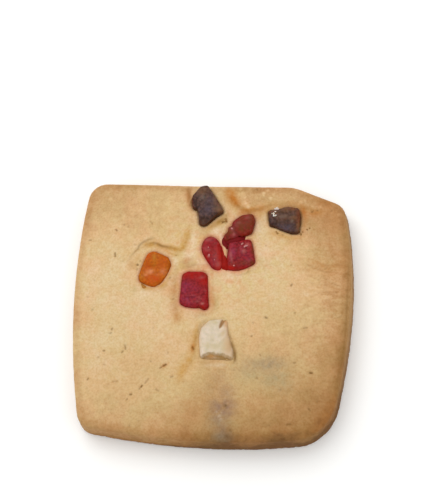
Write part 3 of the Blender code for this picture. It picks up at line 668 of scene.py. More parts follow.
# how far the oven browned it: place, reach in mm, strength
browned = (
    (27.0, -25.0, 14.0, 0.40), (12.0, -32.5, 8.5, 0.32), (-6.0, -32.5, 8.0, 0.38),
    (-22.0, -31.0, 7.0, 0.26), (31.0, -8.0, 8.0, 0.30), (31.0, 8.0, 8.5, 0.28), (26.0, 21.0, 9.0, 0.34),
    (11.5, 25.0, 6.0, 0.17), (7.0, 26.5, 4.0, 0.10), (-16.0, 26.0, 12.0, 0.18), (-30.0, 20.0, 6.5, 0.11),
    (-31.0, 0.0, 5.0, 0.10), (-29.0, -24.0, 5.0, 0.14), (18.5, 20.5, 3.0, 0.14), (-2.5, -23.0, 4.5, 0.16),
    (6.0, -22.0, 9.0, 0.08), (12.0, -9.0, 10.0, 0.10), (-16.0, -16.0, 12.0, 0.08), (-5.2, 9.5, 1.7, 0.24),
    (-17.2, 9.6, 1.2, 0.20), (-16.0, -25.0, 9.0, 0.07), (4.5, -28.0, 7.0, 0.19), (17.0, -25.5, 7.0, 0.14),
    (-8.4, 3.6, 1.8, 0.08), (2.9, -28.4, 2.8, 0.18), (0.9, -18.4, 4.0, 0.10), (0.0, -13.4, 3.2, 0.10),
    (-0.9, 16.8, 1.8, 0.10), (-28.0, 29.0, 5.0, 0.09), (4.2, -11.0, 2.0, 0.12), (22.5, -22.0, 4.5, 0.04),
    (26.5, -15.0, 4.5, 0.07), (-7.2, -3.0, 1.4, 0.14), (-1.6, -2.4, 1.6, 0.12), (0.0, -16.8, 2.6, 0.07),
    (3.0, -29.4, 2.4, 0.10), (-1.2, -11.5, 2.5, 0.08), (-1.2, 0.9, 1.6, 0.16), (-21.5, 26.5, 4.5, 0.06),
    (-5.2, 26.8, 1.4, 0.10), (-4.8, -7.0, 1.6, 0.09), (-3.0, 9.3, 2.4, 0.07), (-28.4, -14.5, 3.0, 0.08),
    (-9.0, -24.0, 4.5, 0.05), (14.5, -30.4, 2.4, 0.12), (-1.0, -30.2, 2.4, 0.10), (13.5, 25.4, 4.6, 0.07),
    (24.8, -25.4, 3.0, 0.05),
)
# where fruit under the skin and damp tinged it: spots, as for the fruit
stains = {
    "olive": ((-15.0, -17.0, 13.0, 9.0, 0.42), (6.0, -17.0, 15.0, 8.0, 0.48), (9.0, -19.5, 6.0, 5.0, 0.40),
              (-16.8, 3.9, 0.6, 0.8, 0.9), (-7.2, 11.6, 0.9, 0.5, 0.6), (10.7, 9.4, 1.6, 1.0, 0.7),
              (1.8, 17.6, 1.4, 1.2, 0.5), (-6.2, 20.7, 1.5, 1.2, 0.4), (-4.2, 19.6, 0.6, 1.0, 0.5),
              (-10.8, 4.4, 0.9, 0.6, 0.9), (-14.6, 3.9, 0.7, 0.4, 0.9), (1.4, 0.0, 0.6, 1.2, 0.7),
              (6.3, 22.8, 0.5, 0.4, 1.0), (15.0, -5.0, 7.0, 5.0, 0.2), (-1.0, 16.7, 1.5, 1.0, 0.8),
              (5.0, -25.6, 2.0, 2.0, 0.5)),
    "sage": ((9.0, -15.6, 3.4, 1.8, 0.4), (12.4, -13.8, 3.6, 1.8, 0.62), (13.6, -16.6, 3.2, 2.2, 0.6),
             (15.4, -17.8, 2.4, 2.0, 0.4), (1.8, -26.0, 2.2, 2.0, 0.6), (2.4, -28.4, 2.0, 2.4, 0.5)),
    "plum": ((8.6, -13.7, 3.0, 1.6, 0.32), (12.2, -13.4, 3.4, 1.4, 0.38), (14.9, -13.6, 2.0, 1.1, 0.25),
             (2.2, -16.5, 2.4, 2.4, 0.25), (0.6, -18.8, 2.2, 2.0, 0.22), (3.4, -19.6, 2.0, 2.2, 0.5),
             (1.6, -22.6, 1.9, 2.0, 0.85), (3.5, -22.6, 1.9, 2.4, 0.95), (1.6, -24.4, 1.6, 1.6, 0.6),
             (2.6, -27.6, 1.6, 2.8, 0.45), (-2.2, -2.6, 2.0, 0.7, 0.12)),
    "pale": ((0.1, -13.5, 1.2, 0.4, 0.4), (1.9, -13.5, 1.3, 0.4, 0.6), (-1.6, 9.8, 2.6, 1.2, 0.6),
             (1.4, 17.0, 1.2, 1.2, 0.9), (2.4, 15.4, 0.4, 1.2, 0.8), (-4.6, 11.6, 1.8, 1.0, 0.8),
             (4.6, 6.2, 2.4, 0.8, 0.5), (-2.0, -2.9, 1.6, 0.7, 0.25), (-3.9, 15.2, 0.8, 2.4, 0.6),
             (11.6, 11.4, 1.6, 2.4, 0.5), (-14.6, 3.0, 1.2, 0.8, 0.9), (10.6, 17.6, 1.4, 1.6, 0.7),
             (-8.0, 10.2, 1.0, 0.8, 0.8), (1.9, -24.3, 0.4, 0.3, 0.8), (1.4, -23.4, 0.25, 0.3, 0.7),
             (2.2, -25.0, 0.3, 0.25, 0.6), (2.5, -23.6, 0.25, 0.25, 0.5), (12.0, 19.4, 0.6, 1.6, 0.5)),
}
# how each piece sits: the crevice round it and the dough's rise to it in mm, how dark the
# painted shade in the crevice is, and how strongly and how far its dye ran
seats = {
    "dark_fruit_back": {"crevice": 0.24, "rise": 0.10, "tone": 0.50, "dye": 0.10, "dyeReach": 0.7},
    "dark_fruit_right": {"crevice": 0.24, "rise": 0.12, "tone": 0.50, "dye": 0.10, "dyeReach": 0.8},
    "red_fruit_strip": {"crevice": 0.08, "rise": 0.14, "tone": 0.10, "dye": 0.90, "dyeReach": 0.6},
    "red_fruit_block": {"crevice": 0.06, "rise": 0.18, "tone": 0.08, "dye": 1.00, "dyeReach": 0.6},
    "red_fruit_long": {"crevice": 0.04, "rise": 0.16, "tone": 0.00, "dye": 1.10, "dyeReach": 0.7},
    "red_fruit_cube": {"crevice": 0.06, "rise": 0.22, "tone": 0.00, "dye": 1.10, "dyeReach": 0.6},
    "orange_fruit": {"crevice": 0.06, "rise": 0.16, "tone": 0.06, "dye": 0.45, "dyeReach": 0.6},
    "cashew_piece": {"crevice": 0.08, "rise": 0.14, "tone": 0.10, "dye": 0.00, "dyeReach": 0.5},
}
# mm: how far out the rise stands, how wide it, the crevice and the painted shade in the
# crevice are, and how far the dough sinks under a piece
seatShape = {"riseOut": 0.7, "riseWidth": 0.55, "creviceWidth": 0.22, "toneWidth": 0.26, "sunk": 0.9}
# where the dough closed up to a piece and left no crevice
closed = ((-2.0, -3.8, 2.4, 2.0, 1.0), (1.6, -2.9, 1.4, 0.9, 0.8), (0.5, -13.0, 3.4, 0.8, 0.7),
          (-9.6, 12.2, 1.6, 1.2, 0.6))


def outlineFromModel(count=1440):
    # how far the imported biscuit's fullest line is from the middle, all round
    tree = surfaceTree(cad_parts["biscuit"].data)
    angles = np.linspace(-math.pi, math.pi, count + 1)
    far, level = 60 * mm, (dough["footHeight"] + 0.05) * mm
    radii = []
    for angle in angles:
        away = Vector((math.cos(angle), math.sin(angle), 0.0))
        _, _, _, distance = tree.ray_cast(away * far + Vector((0, 0, level)), -away)
        radii.append((far - distance) / mm)
    return angles, np.array(radii)


outlineAngles, outlineRadii = outlineFromModel()
edgeWidth = dough["rollOut"] + dough["flare"]


def outlineAt(angle):
    return np.interp(angle, outlineAngles, outlineRadii)


def seatDistances(points, reach=2.2):
    # signed distance from each dough point to each piece set in it, minus inside the piece
    found = {}
    for name, piece in fruit.items():
        tree = surfaceTree(piece.data)
        own = readPoints(piece.data)[:, :2] / mm
        close = np.all((points[:, :2] > own.min(0) - reach) & (points[:, :2] < own.max(0) + reach), axis=1)
        distances = np.full(len(points), 99.0)
        for index in np.nonzero(close)[0]:
            here = Vector(points[index]) * mm
            spot, normal, _, distance = tree.find_nearest(here)
            distances[index] = math.copysign(distance / mm, (here - spot).dot(normal))
        found[name] = distances
    return found


def pinholeMask(xy):
    holes = list(pinholes)
    draw = random.Random(5)
    within = pinhole["within"]
    for _ in range(pinhole["scattered"]):
        holes.append((draw.uniform(-within, within), draw.uniform(-within, within),
                      draw.uniform(*pinhole["scatteredSize"]), draw.uniform(0, 180),
                      draw.uniform(*pinhole["scatteredDark"])))
    mask = np.zeros(len(xy))
    for x, y, length, turn, dark in holes:
        along = np.array((math.cos(math.radians(turn)), math.sin(math.radians(turn))))
        offset = xy - (x, y)
        run = np.clip(np.abs(offset @ along) - (length - pinhole["width"]) / 2, 0, None)
        side = offset @ np.array((-along[1], along[0]))
        # each hole drawn darker, a painted shade
        mask = np.maximum(mask, dark * bump(np.hypot(run, side), pinhole["width"]))
    return mask


def topHeights(xy):
    # the plain top: crown, slow swell, lips and folds, with nothing finer
    angle = np.arctan2(xy[:, 1], xy[:, 0])
    radius = np.hypot(xy[:, 0], xy[:, 1])
    ring = radius / (outlineAt(angle) - edgeWidth)
    spots = np.column_stack((xy, np.full(len(xy), 3.7)))
    height = dough["thickness"] - (dough["thickness"] - dough["edgeHeight"]) * np.clip(ring, 0, 1)**3
    height += dough["swell"] * noiseAt(spots, dough["swellSize"], 0)
    relief, honey, dark = (np.zeros(len(xy)) for _ in range(3))
    wander = lipBead["wander"] * noiseAt(spots, lipBead["wanderSize"], 1)
    for lip in lips:
        line = curveThrough(lip["line"])
        _, signed, share = alongLine(xy, line)
        signed = signed + wander
        drop, bead, sweet, shade = valuesAlong(share, line)
        relief += bead * bump(signed + 0.1, lipBead["width"])
        relief -= drop * ease(-0.3, 0.8, signed) * np.exp(-np.clip(signed, 0, None) / lip["recover"])
        honey = np.maximum(honey, sweet * bump(signed - 0.15, lipBead["honeyWidth"]))
        # the dark line along the lip's step is painted shadow
        dark = np.maximum(dark, shade * bump(signed + 0.05, lipBead["darkWidth"]))
    for fold in folds:
        distance, _, share = alongLine(xy, curveThrough(fold["line"]))
        fade = fadeEnds(share)
        relief += fold["height"] * bump(distance, fold["width"]) * fade
        # painted shade along the fold
        dark = np.maximum(dark, fold["dark"] * bump(distance, fold["width"] * 0.5) * fade)
    return height + relief * ease(1.0, 0.9, ring), ring, honey, dark


def refineWhere(mesh, wanted):
    # splits the faces whose middles are wanted, once; the dict keeps their edges in a fixed order
    faces = [f for f in mesh.faces if not any(v.is_boundary for v in f.verts)]
    middles = np.array([f.calc_center_median()[:2] for f in faces])
    chosen = wanted(middles)
    edges = dict.fromkeys(e for face, take in zip(faces, chosen) if take for e in face.edges)
    bmesh.ops.subdivide_edges(mesh, edges=list(edges), cuts=1, use_grid_fill=True)


def nearDetail(xy):
    level = np.column_stack((xy, np.full(len(xy), fine["level"])))
    close = np.zeros(len(xy), bool)
    for distances in seatDistances(level, 0.8).values():
        close |= np.abs(distances) < fine["byPiece"]
    for lip in lips:
        close |= alongLine(xy, curveThrough(lip["line"]))[0] < fine["byLip"]
    return close | (pinholeMask(xy) > fine["inHole"])


def edgeProfile():
    # (mm out from where the roll starts, share of the height gone down) from top to foot
    rings = []
    for step in range(1, dough["rollRings"] + 1):
        turn = math.pi / 2 * step / dough["rollRings"]
        rings.append((dough["rollOut"] * math.sin(turn),
                      dough["rollDown"] / dough["edgeHeight"] * (1 - math.cos(turn))))
    start = dough["rollDown"] / dough["edgeHeight"]
    end = 1 - dough["footHeight"] / dough["edgeHeight"]
    for step in range(1, dough["wallRings"] + 1):
        share = step / dough["wallRings"]
        rings.append((dough["rollOut"] + dough["flare"] * share, start + (end - start) * share))
    for step in range(1, dough["footRings"] + 1):
        turn = math.pi / 2 * step / dough["footRings"]
        rings.append((edgeWidth - dough["footRadius"] * (1 - math.cos(turn)),
                      end + (1 - end) * math.sin(turn)))
    return rings


def extrudeRim(mesh, edges, place):
    # one more ring below the open rim; place gives each new point from the one above it. The
    # faces are added one by one, because bmesh's own extrusion adds them in another order each run
    lower = {}
    for above in dict.fromkeys(vertex for edge in edges for vertex in edge.verts):
        lower[above] = mesh.verts.new()
        place(lower[above], above)
    rim = []
    for edge in edges:
        one, two = edge.verts
        rim.append(mesh.edges.new((lower[one], lower[two])))
        if edge.link_loops[0].vert == one:
            one, two = two, one
        mesh.faces.new((one, two, lower[two], lower[one]))
    return rim


def doughMesh():
    mesh = bmesh.new()
    bmesh.ops.create_grid(mesh, x_segments=dough["cells"], y_segments=dough["cells"], size=1.0)
    down = mesh.verts.layers.float.new("down")  # 0 on the top, to 1 at the foot, then to 2 under it
    for vertex in mesh.verts:
        ring = max(abs(vertex.co.x), abs(vertex.co.y))
        angle = math.atan2(vertex.co.y, vertex.co.x)
        radius = (outlineAt(angle) - edgeWidth) * ring
        vertex.co = (radius * math.cos(angle), radius * math.sin(angle), 0.0)
    refineWhere(mesh, nearDetail)
    points = np.array([v.co for v in mesh.verts])
    heights = topHeights(points[:, :2])[0]
    for vertex, height in zip(mesh.verts, heights):
        vertex.co.z = height
    edges = [e for e in mesh.edges if e.is_boundary]
    tops = {}
    for out, dropped in edgeProfile():
        def place(vertex, above):
            angle = math.atan2(above.co.y, above.co.x)
            tops[vertex] = tops.get(above, above.co.z)
            radius = outlineAt(angle) - edgeWidth + out
            vertex.co = (radius * math.cos(angle), radius * math.sin(angle), tops[vertex] * (1 - dropped))
            vertex[down] = dropped
        edges = extrudeRim(mesh, edges, place)
    foot = {}
    for share in dough["underRings"]:
        def tuck(vertex, above):
            foot[vertex] = foot.get(above, above.co.copy())
            vertex.co = (foot[vertex].x * share, foot[vertex].y * share, 0.0)
            vertex[down] = 2.0 - share
        edges = extrudeRim(mesh, edges, tuck)
    bmesh.ops.contextual_create(mesh, geom=edges)
    bmesh.ops.triangulate(mesh, faces=[f for f in mesh.faces if len(f.verts) > 4])
    bmesh.ops.recalc_face_normals(mesh, faces=mesh.faces)
    return finishedMesh(mesh, "biscuit_dough")


def blistersBehindLip(points, ring, onTop):
    # the browned band behind the right-hand lip rose in small blisters, fewer towards the corner
    _, signed, share = alongLine(points[:, :2], curveThrough(lips[2]["line"]))
    band = ease(0.0, -1.0, signed) * ease(0.02, 0.2, share) * ease(1.05, 0.97, ring) * onTop
    blisters = np.zeros(len(points))
    wanted = band > 0.01
    blisters[wanted] = 1 - ease(0.05, 0.5, cellsAt(points[wanted], dough["blisterSize"], 1))
    fewer = 1 - 0.7 * ease(*dough["blistersFade"], points[:, 0])
    return blisters * (band * np.clip(0.65 + 0.9 * noiseAt(points, 1.8, 29), 0, 1) * fewer)


def wrinklesByEdge(points, onTop):
    # drying wrinkles that run in from the right edge
    across, back = (points[:, :2] - dough["wrinklesAt"]).T
    wrinkled = bump(np.hypot(across, back * 0.6), dough["wrinkleReach"]) * onTop
    stretched = points * (0.28, 1.0, 1.0)
    stretched[:, 1] += 0.12 * points[:, 0]
    return np.clip(1 - np.abs(noiseAt(stretched, dough["wrinkleSize"], 23)) * 5, 0, 1) * wrinkled


def settleRoundPieces(points, onTop):
    # moves the dough up to each piece, with a crevice where it shrank away, and finds the dye it took
    gapes = 1 - spotMask(points[:, :2], closed)
    patchy = (0.5 + 0.5 * noiseAt(points, 1.3, 24)) * gapes
    dye, shaded = np.zeros(len(points)), np.zeros(len(points))
    for name, distances in seatDistances(points).items():
        seat = seats[name]
        outside = np.clip(distances, 0, None)
        inside = ease(0.0, -0.4, distances)
        lift = seat["rise"] * bump(outside - seatShape["riseOut"], seatShape["riseWidth"])
        lift -= seat["crevice"] * bump(outside, seatShape["creviceWidth"]) * (0.4 * gapes + patchy)
        lift = lift * (1 - inside) - seatShape["sunk"] * inside
        points[:, 2] += onTop * lift
        # painted shade in the crevice round the piece
        tone = seat["tone"] * bump(outside, seatShape["toneWidth"])
        shaded = np.maximum(shaded, tone * (0.35 * gapes + 0.9 * patchy))
        ran = np.clip(seat["dye"] * np.exp(-outside / seat["dyeReach"] * 1.4), 0, 1)
        dye += (1 - dye) * ran
    return dye, shaded


def crumbleWall(points, normals, onWall):
    # the cut wall crumbled, and cracked as it spread
    crumble = dough["wallCrumble"] * noiseAt(points, dough["wallCrumbleSize"], 25)
    crumble += dough["wallGrit"] * noiseAt(points, dough["wallGritSize"], 26)
    cracks = np.clip(1 - np.abs(noiseAt(points * (1, 1, 1.7), dough["crackSize"], 27)) * 7, 0, 1)
    points += normals * ((crumble - dough["crackDepth"] * cracks) * onWall)[:, None]
    return cracks


def ovenBrowning(points, ring, down, front, coarse):
    xy = points[:, :2]
    bake = np.full(len(points), oven["least"])
    for x, y, reach, strength in browned:
        bake += strength * bump(np.hypot(xy[:, 0] - x, xy[:, 1] - y), reach)
    bake += oven["grain"] * coarse + oven["drift"] * noiseAt(points, oven["driftSize"], 28)
    bake += oven["rim"] * ease(0.94, 1.0, ring)
    # the foot browned on the tray and darkens down the wall, partly painted shade; the extra along
    # the front and towards the right is painted shade
    foot = oven["foot"] + oven["footFrontShade"] * front + oven["footRightShade"] * xy[:, 0] / 30
    return bake + foot * ease(0.1, 0.9, down) + oven["wall"] * ease(0.5, 1.0, down)


def soakedPatches(xy, honey, middling):
    # the stains' spots and the streaks' lines, one mask for each name
    patches = {name: spotMask(xy, spots) for name, spots in stains.items()}
    patches["honey"] = honey
    for name, lines in streaks.items():
        for rows in lines:
            line = curveThrough(rows)
            distance, _, share = alongLine(xy, line)
            width, strength = valuesAlong(share, line)
            streak = strength * bump(distance + 0.2 * middling, width)
            patches[name] = np.maximum(patches.get(name, 0.0), streak)
    return patches


def finishDough(mesh):
    points, normals = readPoints(mesh), readPoints(mesh, "normal")
    down = np.zeros(len(points))
    mesh.attributes["down"].data.foreach_get("value", down)
    onTop = 1 - ease(0.0, 0.15, down)
    onWall = ease(0.02, 0.3, down) * (1 - ease(0.97, 1.0, down))
    under = down > 1.0

    # the shape, finer than the solid's
    _, ring, honey, dark = topHeights(points[:, :2])
    rough = [noiseAt(points, size, 20 + layer) for layer, (size, _) in enumerate(dough["rough"])]
    blisters = blistersBehindLip(points, ring, onTop)
    wrinkles = wrinklesByEdge(points, onTop)
    holes = pinholeMask(points[:, :2]) * onTop
    push = sum(height * lumps for (_, height), lumps in zip(dough["rough"], rough))
    push += dough["blisterHeight"] * blisters - dough["wrinkleDepth"] * wrinkles - pinhole["depth"] * holes
    points[:, 2] += push * onTop
    dye, shaded = settleRoundPieces(points, onTop)
    cracks = crumbleWall(points, normals, onWall)
    points[under, 2] = 0.0
    points[:, 2] = np.clip(points[:, 2], 0.0, None)
    writePoints(mesh, points)

    # the masks that its material reads
    coarse, middling = rough[:2]
    x, y = points[:, 0], points[:, 1]
    front = ease(0.55, 0.95, -y / np.maximum(np.hypot(x, y), 1.0) + 0.25)
    bake = ovenBrowning(points, ring, down, front, coarse)
    # the wrinkles' furrows drawn browner, a painted shade; the blisters paler
    bake += dough["wrinkleShade"] * wrinkles - dough["blisterPale"] * blisters
    bake = np.where(under, oven["under"] + 0.08 * coarse, bake)
    patches = soakedPatches(points[:, :2], honey, middling)
    # the shade streaks, the crevices round the pieces, the lip and fold lines and the pinholes are painted
    # shade
    shade = patches.pop("shade") * (0.8 + 0.8 * middling) * (1 - ease(0.3, 0.5, down))
    crevice = np.maximum(np.maximum(shaded * onTop, np.maximum(dark, shade)), holes)
    storeMask(mesh, "browning", bake)
    across, back = (points[:, :2] - dough["livelyAt"]).T
    storeMask(mesh, "lively", bump(np.hypot(across, back * 1.2), dough["livelyReach"]) * onTop)
    for name, patch in patches.items():
        storeMask(mesh, name, patch * (0.9 + 0.5 * middling) * onTop)
    storeMask(mesh, "dye", dye * onTop)
    # the wall's cracks drawn darker too, a painted shade
    storeMask(mesh, "crevice", crevice + 0.4 * cracks * onWall)
    storeMask(mesh, "cut", onWall * (1 - 0.9 * front))
    mesh.attributes.remove(mesh.attributes["down"])


# shortbread, rolled, cut and baked: butter holds fine flour grains, so it is dry, matt and
# slightly see-through at its skin, mottled grain by grain, golden to brown where the oven caught it
shortbread = {
    "ior": 1.45, "roughness": 0.85, "specular": 0.12,
    "through": 0.12, "depth": 0.8, "reach": (1.0, 0.65, 0.35),  # light inside, as in the papaya
    "grainSize": 0.42,    # mm, flour and sugar grains
    "grainDepth": 0.10,   # mm
    "mottleSize": 1.1,    # mm, patches of drier dough
    "cloudSize": 2.0,     # mm, patches that syrup and fruit tinged
    "patchSize": 5.5,     # mm, slow change of tone
    "bakes": ((0.0, "#dfc9a8"), (0.25, "#d5b487"), (0.5, "#ba9163"), (0.75, "#9b7143"),
              (1.0, "#6c4a2a")),
    "tints": ((0.40, "#f8fcf7"), (0.60, "#fcf8f6")),                      # greener to rosier
    "tinges": ((0.36, "#fbf9e0"), (0.50, "#ffffff"), (0.64, "#fde6d9")),  # creamier to pinker
    "damp": "#e6d5bb", "olive": "#b8a26e", "sage": "#978f70", "plum": "#876b5d", "pale": "#e3d2b6",
    "honey": "#bf9048", "amber": "#b26c26", "dye": "#c8705c", "cut": "#bd9a72", "crevice": "#785728",
    "masks": (("cut", 0.3), ("olive", 0.7), ("sage", 0.8), ("pale", 0.7), ("plum", 0.8),
              ("honey", 0.85), ("amber", 0.85), ("dye", 0.7)),
}


def shortbreadDough():
    material, tree = newMaterial("shortbreadDough")
    place = addNode(tree, "TexCoord").outputs["Object"]
    sizes = (("grainSize", 3.0), ("mottleSize", 4.0), ("cloudSize", 2.0), ("patchSize", 2.0))
    grain, mottle, cloud, patch = (
        addNode(tree, "TexNoise", {"Scale": 1 / (shortbread[size] * mm), "Detail": detail},
                {"Vector": place}).outputs["Fac"] for size, detail in sizes)
    # the bake's tone wanders with the mottle, so its edge is never a clean line
    browning = addNode(tree, "Attribute", {"attribute_name": "browning"}).outputs["Fac"]
    wander = addNode(tree, "Math", {"operation": "MULTIPLY_ADD", 1: 0.30, 2: -0.15}, {0: mottle}).outputs[0]
    tone = addNode(tree, "Math", {"operation": "ADD"}, {0: browning, 1: wander}).outputs[0]
    colour = addNode(tree, "ValToRGB", {"stops": shortbread["bakes"]}, {"Fac": tone}).outputs[0]
    tint = addNode(tree, "ValToRGB", {"stops": shortbread["tints"]}, {"Fac": patch}).outputs[0]
    colour = addNode(tree, "Mix", {"data_type": "RGBA", "blend_type": "MULTIPLY", 0: 1.0},
                     {6: colour, 7: tint}).outputs[2]
    tinge = addNode(tree, "ValToRGB", {"stops": shortbread["tinges"]}, {"Fac": cloud}).outputs[0]
    lively = addNode(tree, "Attribute", {"attribute_name": "lively"}).outputs["Fac"]
    colour = addNode(tree, "Mix", {"data_type": "RGBA", "blend_type": "MULTIPLY"},
                     {0: lively, 6: colour, 7: tinge}).outputs[2]
    colour = paintOver(tree, colour, shortbread, shortbread["masks"])
    damp = addNode(tree, "MapRange", {"From Min": 0.42, "From Max": 0.68, "To Max": 0.5},
                   {"Value": grain}).outputs[0]
    colour = addNode(tree, "Mix", {"data_type": "RGBA", "blend_type": "MULTIPLY",
                                   7: hexLinear(shortbread["damp"])}, {0: damp, 6: colour}).outputs[2]
    # painted shade: crevices, lip and fold lines, pinholes and the wall's cracks darkened
    colour = paintOver(tree, colour, shortbread, (("crevice", 0.9),))
    heights = addNode(tree, "Math", {"operation": "MULTIPLY_ADD", 1: 0.5}, {0: grain, 2: mottle}).outputs[0]
    relief = addNode(tree, "Bump", {"Strength": 0.5, "Distance": shortbread["grainDepth"] * mm},
                     {"Height": heights}).outputs[0]
    shader = addNode(tree, "BsdfPrincipled", {
        "IOR": shortbread["ior"], "Roughness": shortbread["roughness"],
        "Specular IOR Level": shortbread["specular"],
        "Subsurface Weight": shortbread["through"], "Subsurface Radius": shortbread["reach"],
        "Subsurface Scale": shortbread["depth"] * mm,
    }, {"Base Color": colour, "Normal": relief})
    addNode(tree, "OutputMaterial", None, {"Surface": shader.outputs[0]})
    return material


doughData = doughMesh()
finishDough(doughData)
biscuit = showPiece("biscuit_dough", doughData, shortbreadDough(), "baked_dough", "biscuit")
doughData.calc_loop_triangles()
print("dough shaped:", len(doughData.loop_triangles), "triangles")


# sugar, crumbs and syrup

# grains lie in little heaps: places are (x, y, how many) and spread is how far a heap scatters, in mm
sugar = {
    "size": (0.36, 0.60), "spread": 0.24,
    "places": (
        (14.9, 21.5, 14), (15.2, 21.2, 4), (14.2, 19.8, 7), (14.5, 20.3, 2),
    ),
}
# damp sugar on the red fruit; some heaps sit where glints of light fall, a painted highlight
dampSugarAndGlints = {
    "size": (0.30, 0.46), "spread": 0.12,
    "places": (
        (7.1, 13.4, 4), (8.1, 12.9, 5), (7.4, 12.5, 2), (4.8, 17.0, 3), (-0.2, 10.8, 2), (5.4, 8.3, 2),
        (-0.4, 12.9, 1), (0.8, 9.9, 1),
    ),
}
crumbs = {
    "size": (0.40, 0.64), "spread": 0.22,
    "places": (
        (20.3, 15.8, 2), (14.9, 16.0, 2), (20.2, 14.7, 1), (21.5, 16.5, 2), (2.9, 19.4, 2),
        (3.2, 18.9, 2),
    ),
}
grainShape = {
    "squash": ((0.7, 1.2), (0.6, 1.0), (0.5, 0.9)),  # how long, wide and high, by its size
    "tilt": 0.6, "jagged": 0.22, "stands": 0.22,     # radians, and shares of its size
}
syrups = {  # rows of x, y, z, half width; all in mm
    "dark_syrup": (
        ((2.7, 13.5, 7.5, 0.30), (4.0, 14.0, 7.75, 0.62), (5.4, 14.3, 7.9, 0.66), (6.6, 14.6, 7.85, 0.62),
         (7.9, 15.0, 7.5, 0.30)),
        ((3.0, 15.2, 7.60, 0.16), (2.9, 14.5, 7.72, 0.36), (3.1, 13.8, 7.80, 0.50), (3.5, 13.1, 7.80, 0.46),
         (3.7, 12.4, 7.70, 0.20)),
    ),
    "red_syrup": (
        ((2.4, 13.2, 7.65, 0.12), (2.7, 12.0, 7.75, 0.26), (3.0, 10.8, 7.80, 0.42), (3.2, 9.6, 7.85, 0.62),
         (3.3, 8.4, 7.9, 0.85), (3.2, 7.6, 7.75, 0.60), (3.1, 7.1, 7.4, 0.25)),
    ),
    "orange_syrup": (
        ((-15.4, 5.1, 7.55, 0.18), (-14.7, 4.3, 7.65, 0.42), (-13.8, 4.0, 7.60, 0.18)),
        ((-11.6, 4.1, 7.5, 0.12), (-11.0, 4.4, 7.55, 0.30), (-10.4, 5.0, 7.5, 0.12)),
    ),
}


def surfaceBelow(x, y, trees):
    # the highest thing under that place, and its slope
    hits = [tree.ray_cast(Vector((x, y, 30.0)) * mm, Vector((0.0, 0.0, -1.0)))[:2] for tree in trees]
    return max((hit for hit in hits if hit[0]), key=lambda hit: hit[0].z)


def scatter(name, spec, material, slot, trees, seed):
    # small angular grains lying on whatever is under each place
    draw = random.Random(seed)
    mesh = bmesh.new()
    jagged = grainShape["jagged"]
    for x, y, count in spec["places"]:
        for _ in range(count):
            size = draw.uniform(*spec["size"])
            across, back = draw.gauss(0, spec["spread"]), draw.gauss(0, spec["spread"])
            here, slope = surfaceBelow(x + across, y + back, trees)
            grain = bmesh.ops.create_icosphere(mesh, subdivisions=1, radius=size / 2 * mm)["verts"]
            squash = Matrix.Diagonal([draw.uniform(*span) for span in grainShape["squash"]])
            turn = (Matrix.Rotation(draw.uniform(0, math.tau), 3, "Z")
                    @ Matrix.Rotation(draw.uniform(0, grainShape["tilt"]), 3, "X"))
            for vertex in grain:
                jitter = 1 + draw.uniform(-jagged, jagged)
                corner = turn @ (squash @ vertex.co * jitter)
                vertex.co = corner + here + slope * size * grainShape["stands"] * mm
    made = showPiece(name, finishedMesh(mesh, name), material, slot)
    made.data.shade_flat()


def syrupBeads(name, beads, material, slot):
    # lens-shaped threads of syrup that filled the gaps as it boiled out
    sides = 16
    mesh = bmesh.new()
    for bead in beads:
        line = curveThrough(bead, 6)
        rings = []
        for index, (x, y, z, radius) in enumerate(line):
            ahead, behind = line[min(index + 1, len(line) - 1)], line[max(index - 1, 0)]
            along = Vector((ahead[0] - behind[0], ahead[1] - behind[1], 0.0)).normalized()
            across = Vector((-along.y, along.x, 0.0))
            rings.append([mesh.verts.new((Vector((x, y, z)) + across * radius * math.cos(turn)
                                          + Vector((0, 0, 1)) * radius * 0.5 * math.sin(turn)) * mm)
                          for turn in (math.tau * side / sides for side in range(sides))])
        for one, two in zip(rings, rings[1:]):
            for side in range(sides):
                after = (side + 1) % sides
                mesh.faces.new((one[side], one[after], two[after], two[side]))
        for ring in (rings[0], rings[-1]):
            mesh.faces.new(ring)
    bmesh.ops.recalc_face_normals(mesh, faces=mesh.faces)
    showPiece(name, finishedMesh(mesh, name), material, slot)


# granulated sugar: clear crystals that look white because light scatters out of their corners
sugarLook = {"ior": 1.54, "specular": 0.5, "roughness": 0.30, "tone": "#efe0d0"}
# the same, half dissolved and steeped in red dye; on the red fruit some grains also stand in for glints, a
# painted highlight
dampSugarAndGlintLook = {"ior": 1.50, "specular": 0.2, "roughness": 0.45, "tone": "#d48e88"}
# sugar caught by the oven: brittle, dark amber brown
crumbLook = {"ior": 1.50, "specular": 0.2, "roughness": 0.5, "tone": "#a87c40"}
# boiled sugar syrup with dye in it: a smooth glaze, deep where it is thick
redSyrupLook = {"ior": 1.48, "specular": 0.05, "roughness": 0.40, "tone": "#9a180f"}
darkSyrupLook = {"ior": 1.48, "specular": 0.05, "roughness": 0.40, "tone": "#7a161a"}
orangeSyrupLook = {"ior": 1.48, "specular": 0.1, "roughness": 0.30, "tone": "#b0752e"}
# all of them let light in a little way, and are cloudier and deeper in patches
cloudySugar = {"through": 0.3, "depth": 0.3, "reach": (1.0, 0.5, 0.3), "cloudSize": 0.5, "deeper": 0.6}


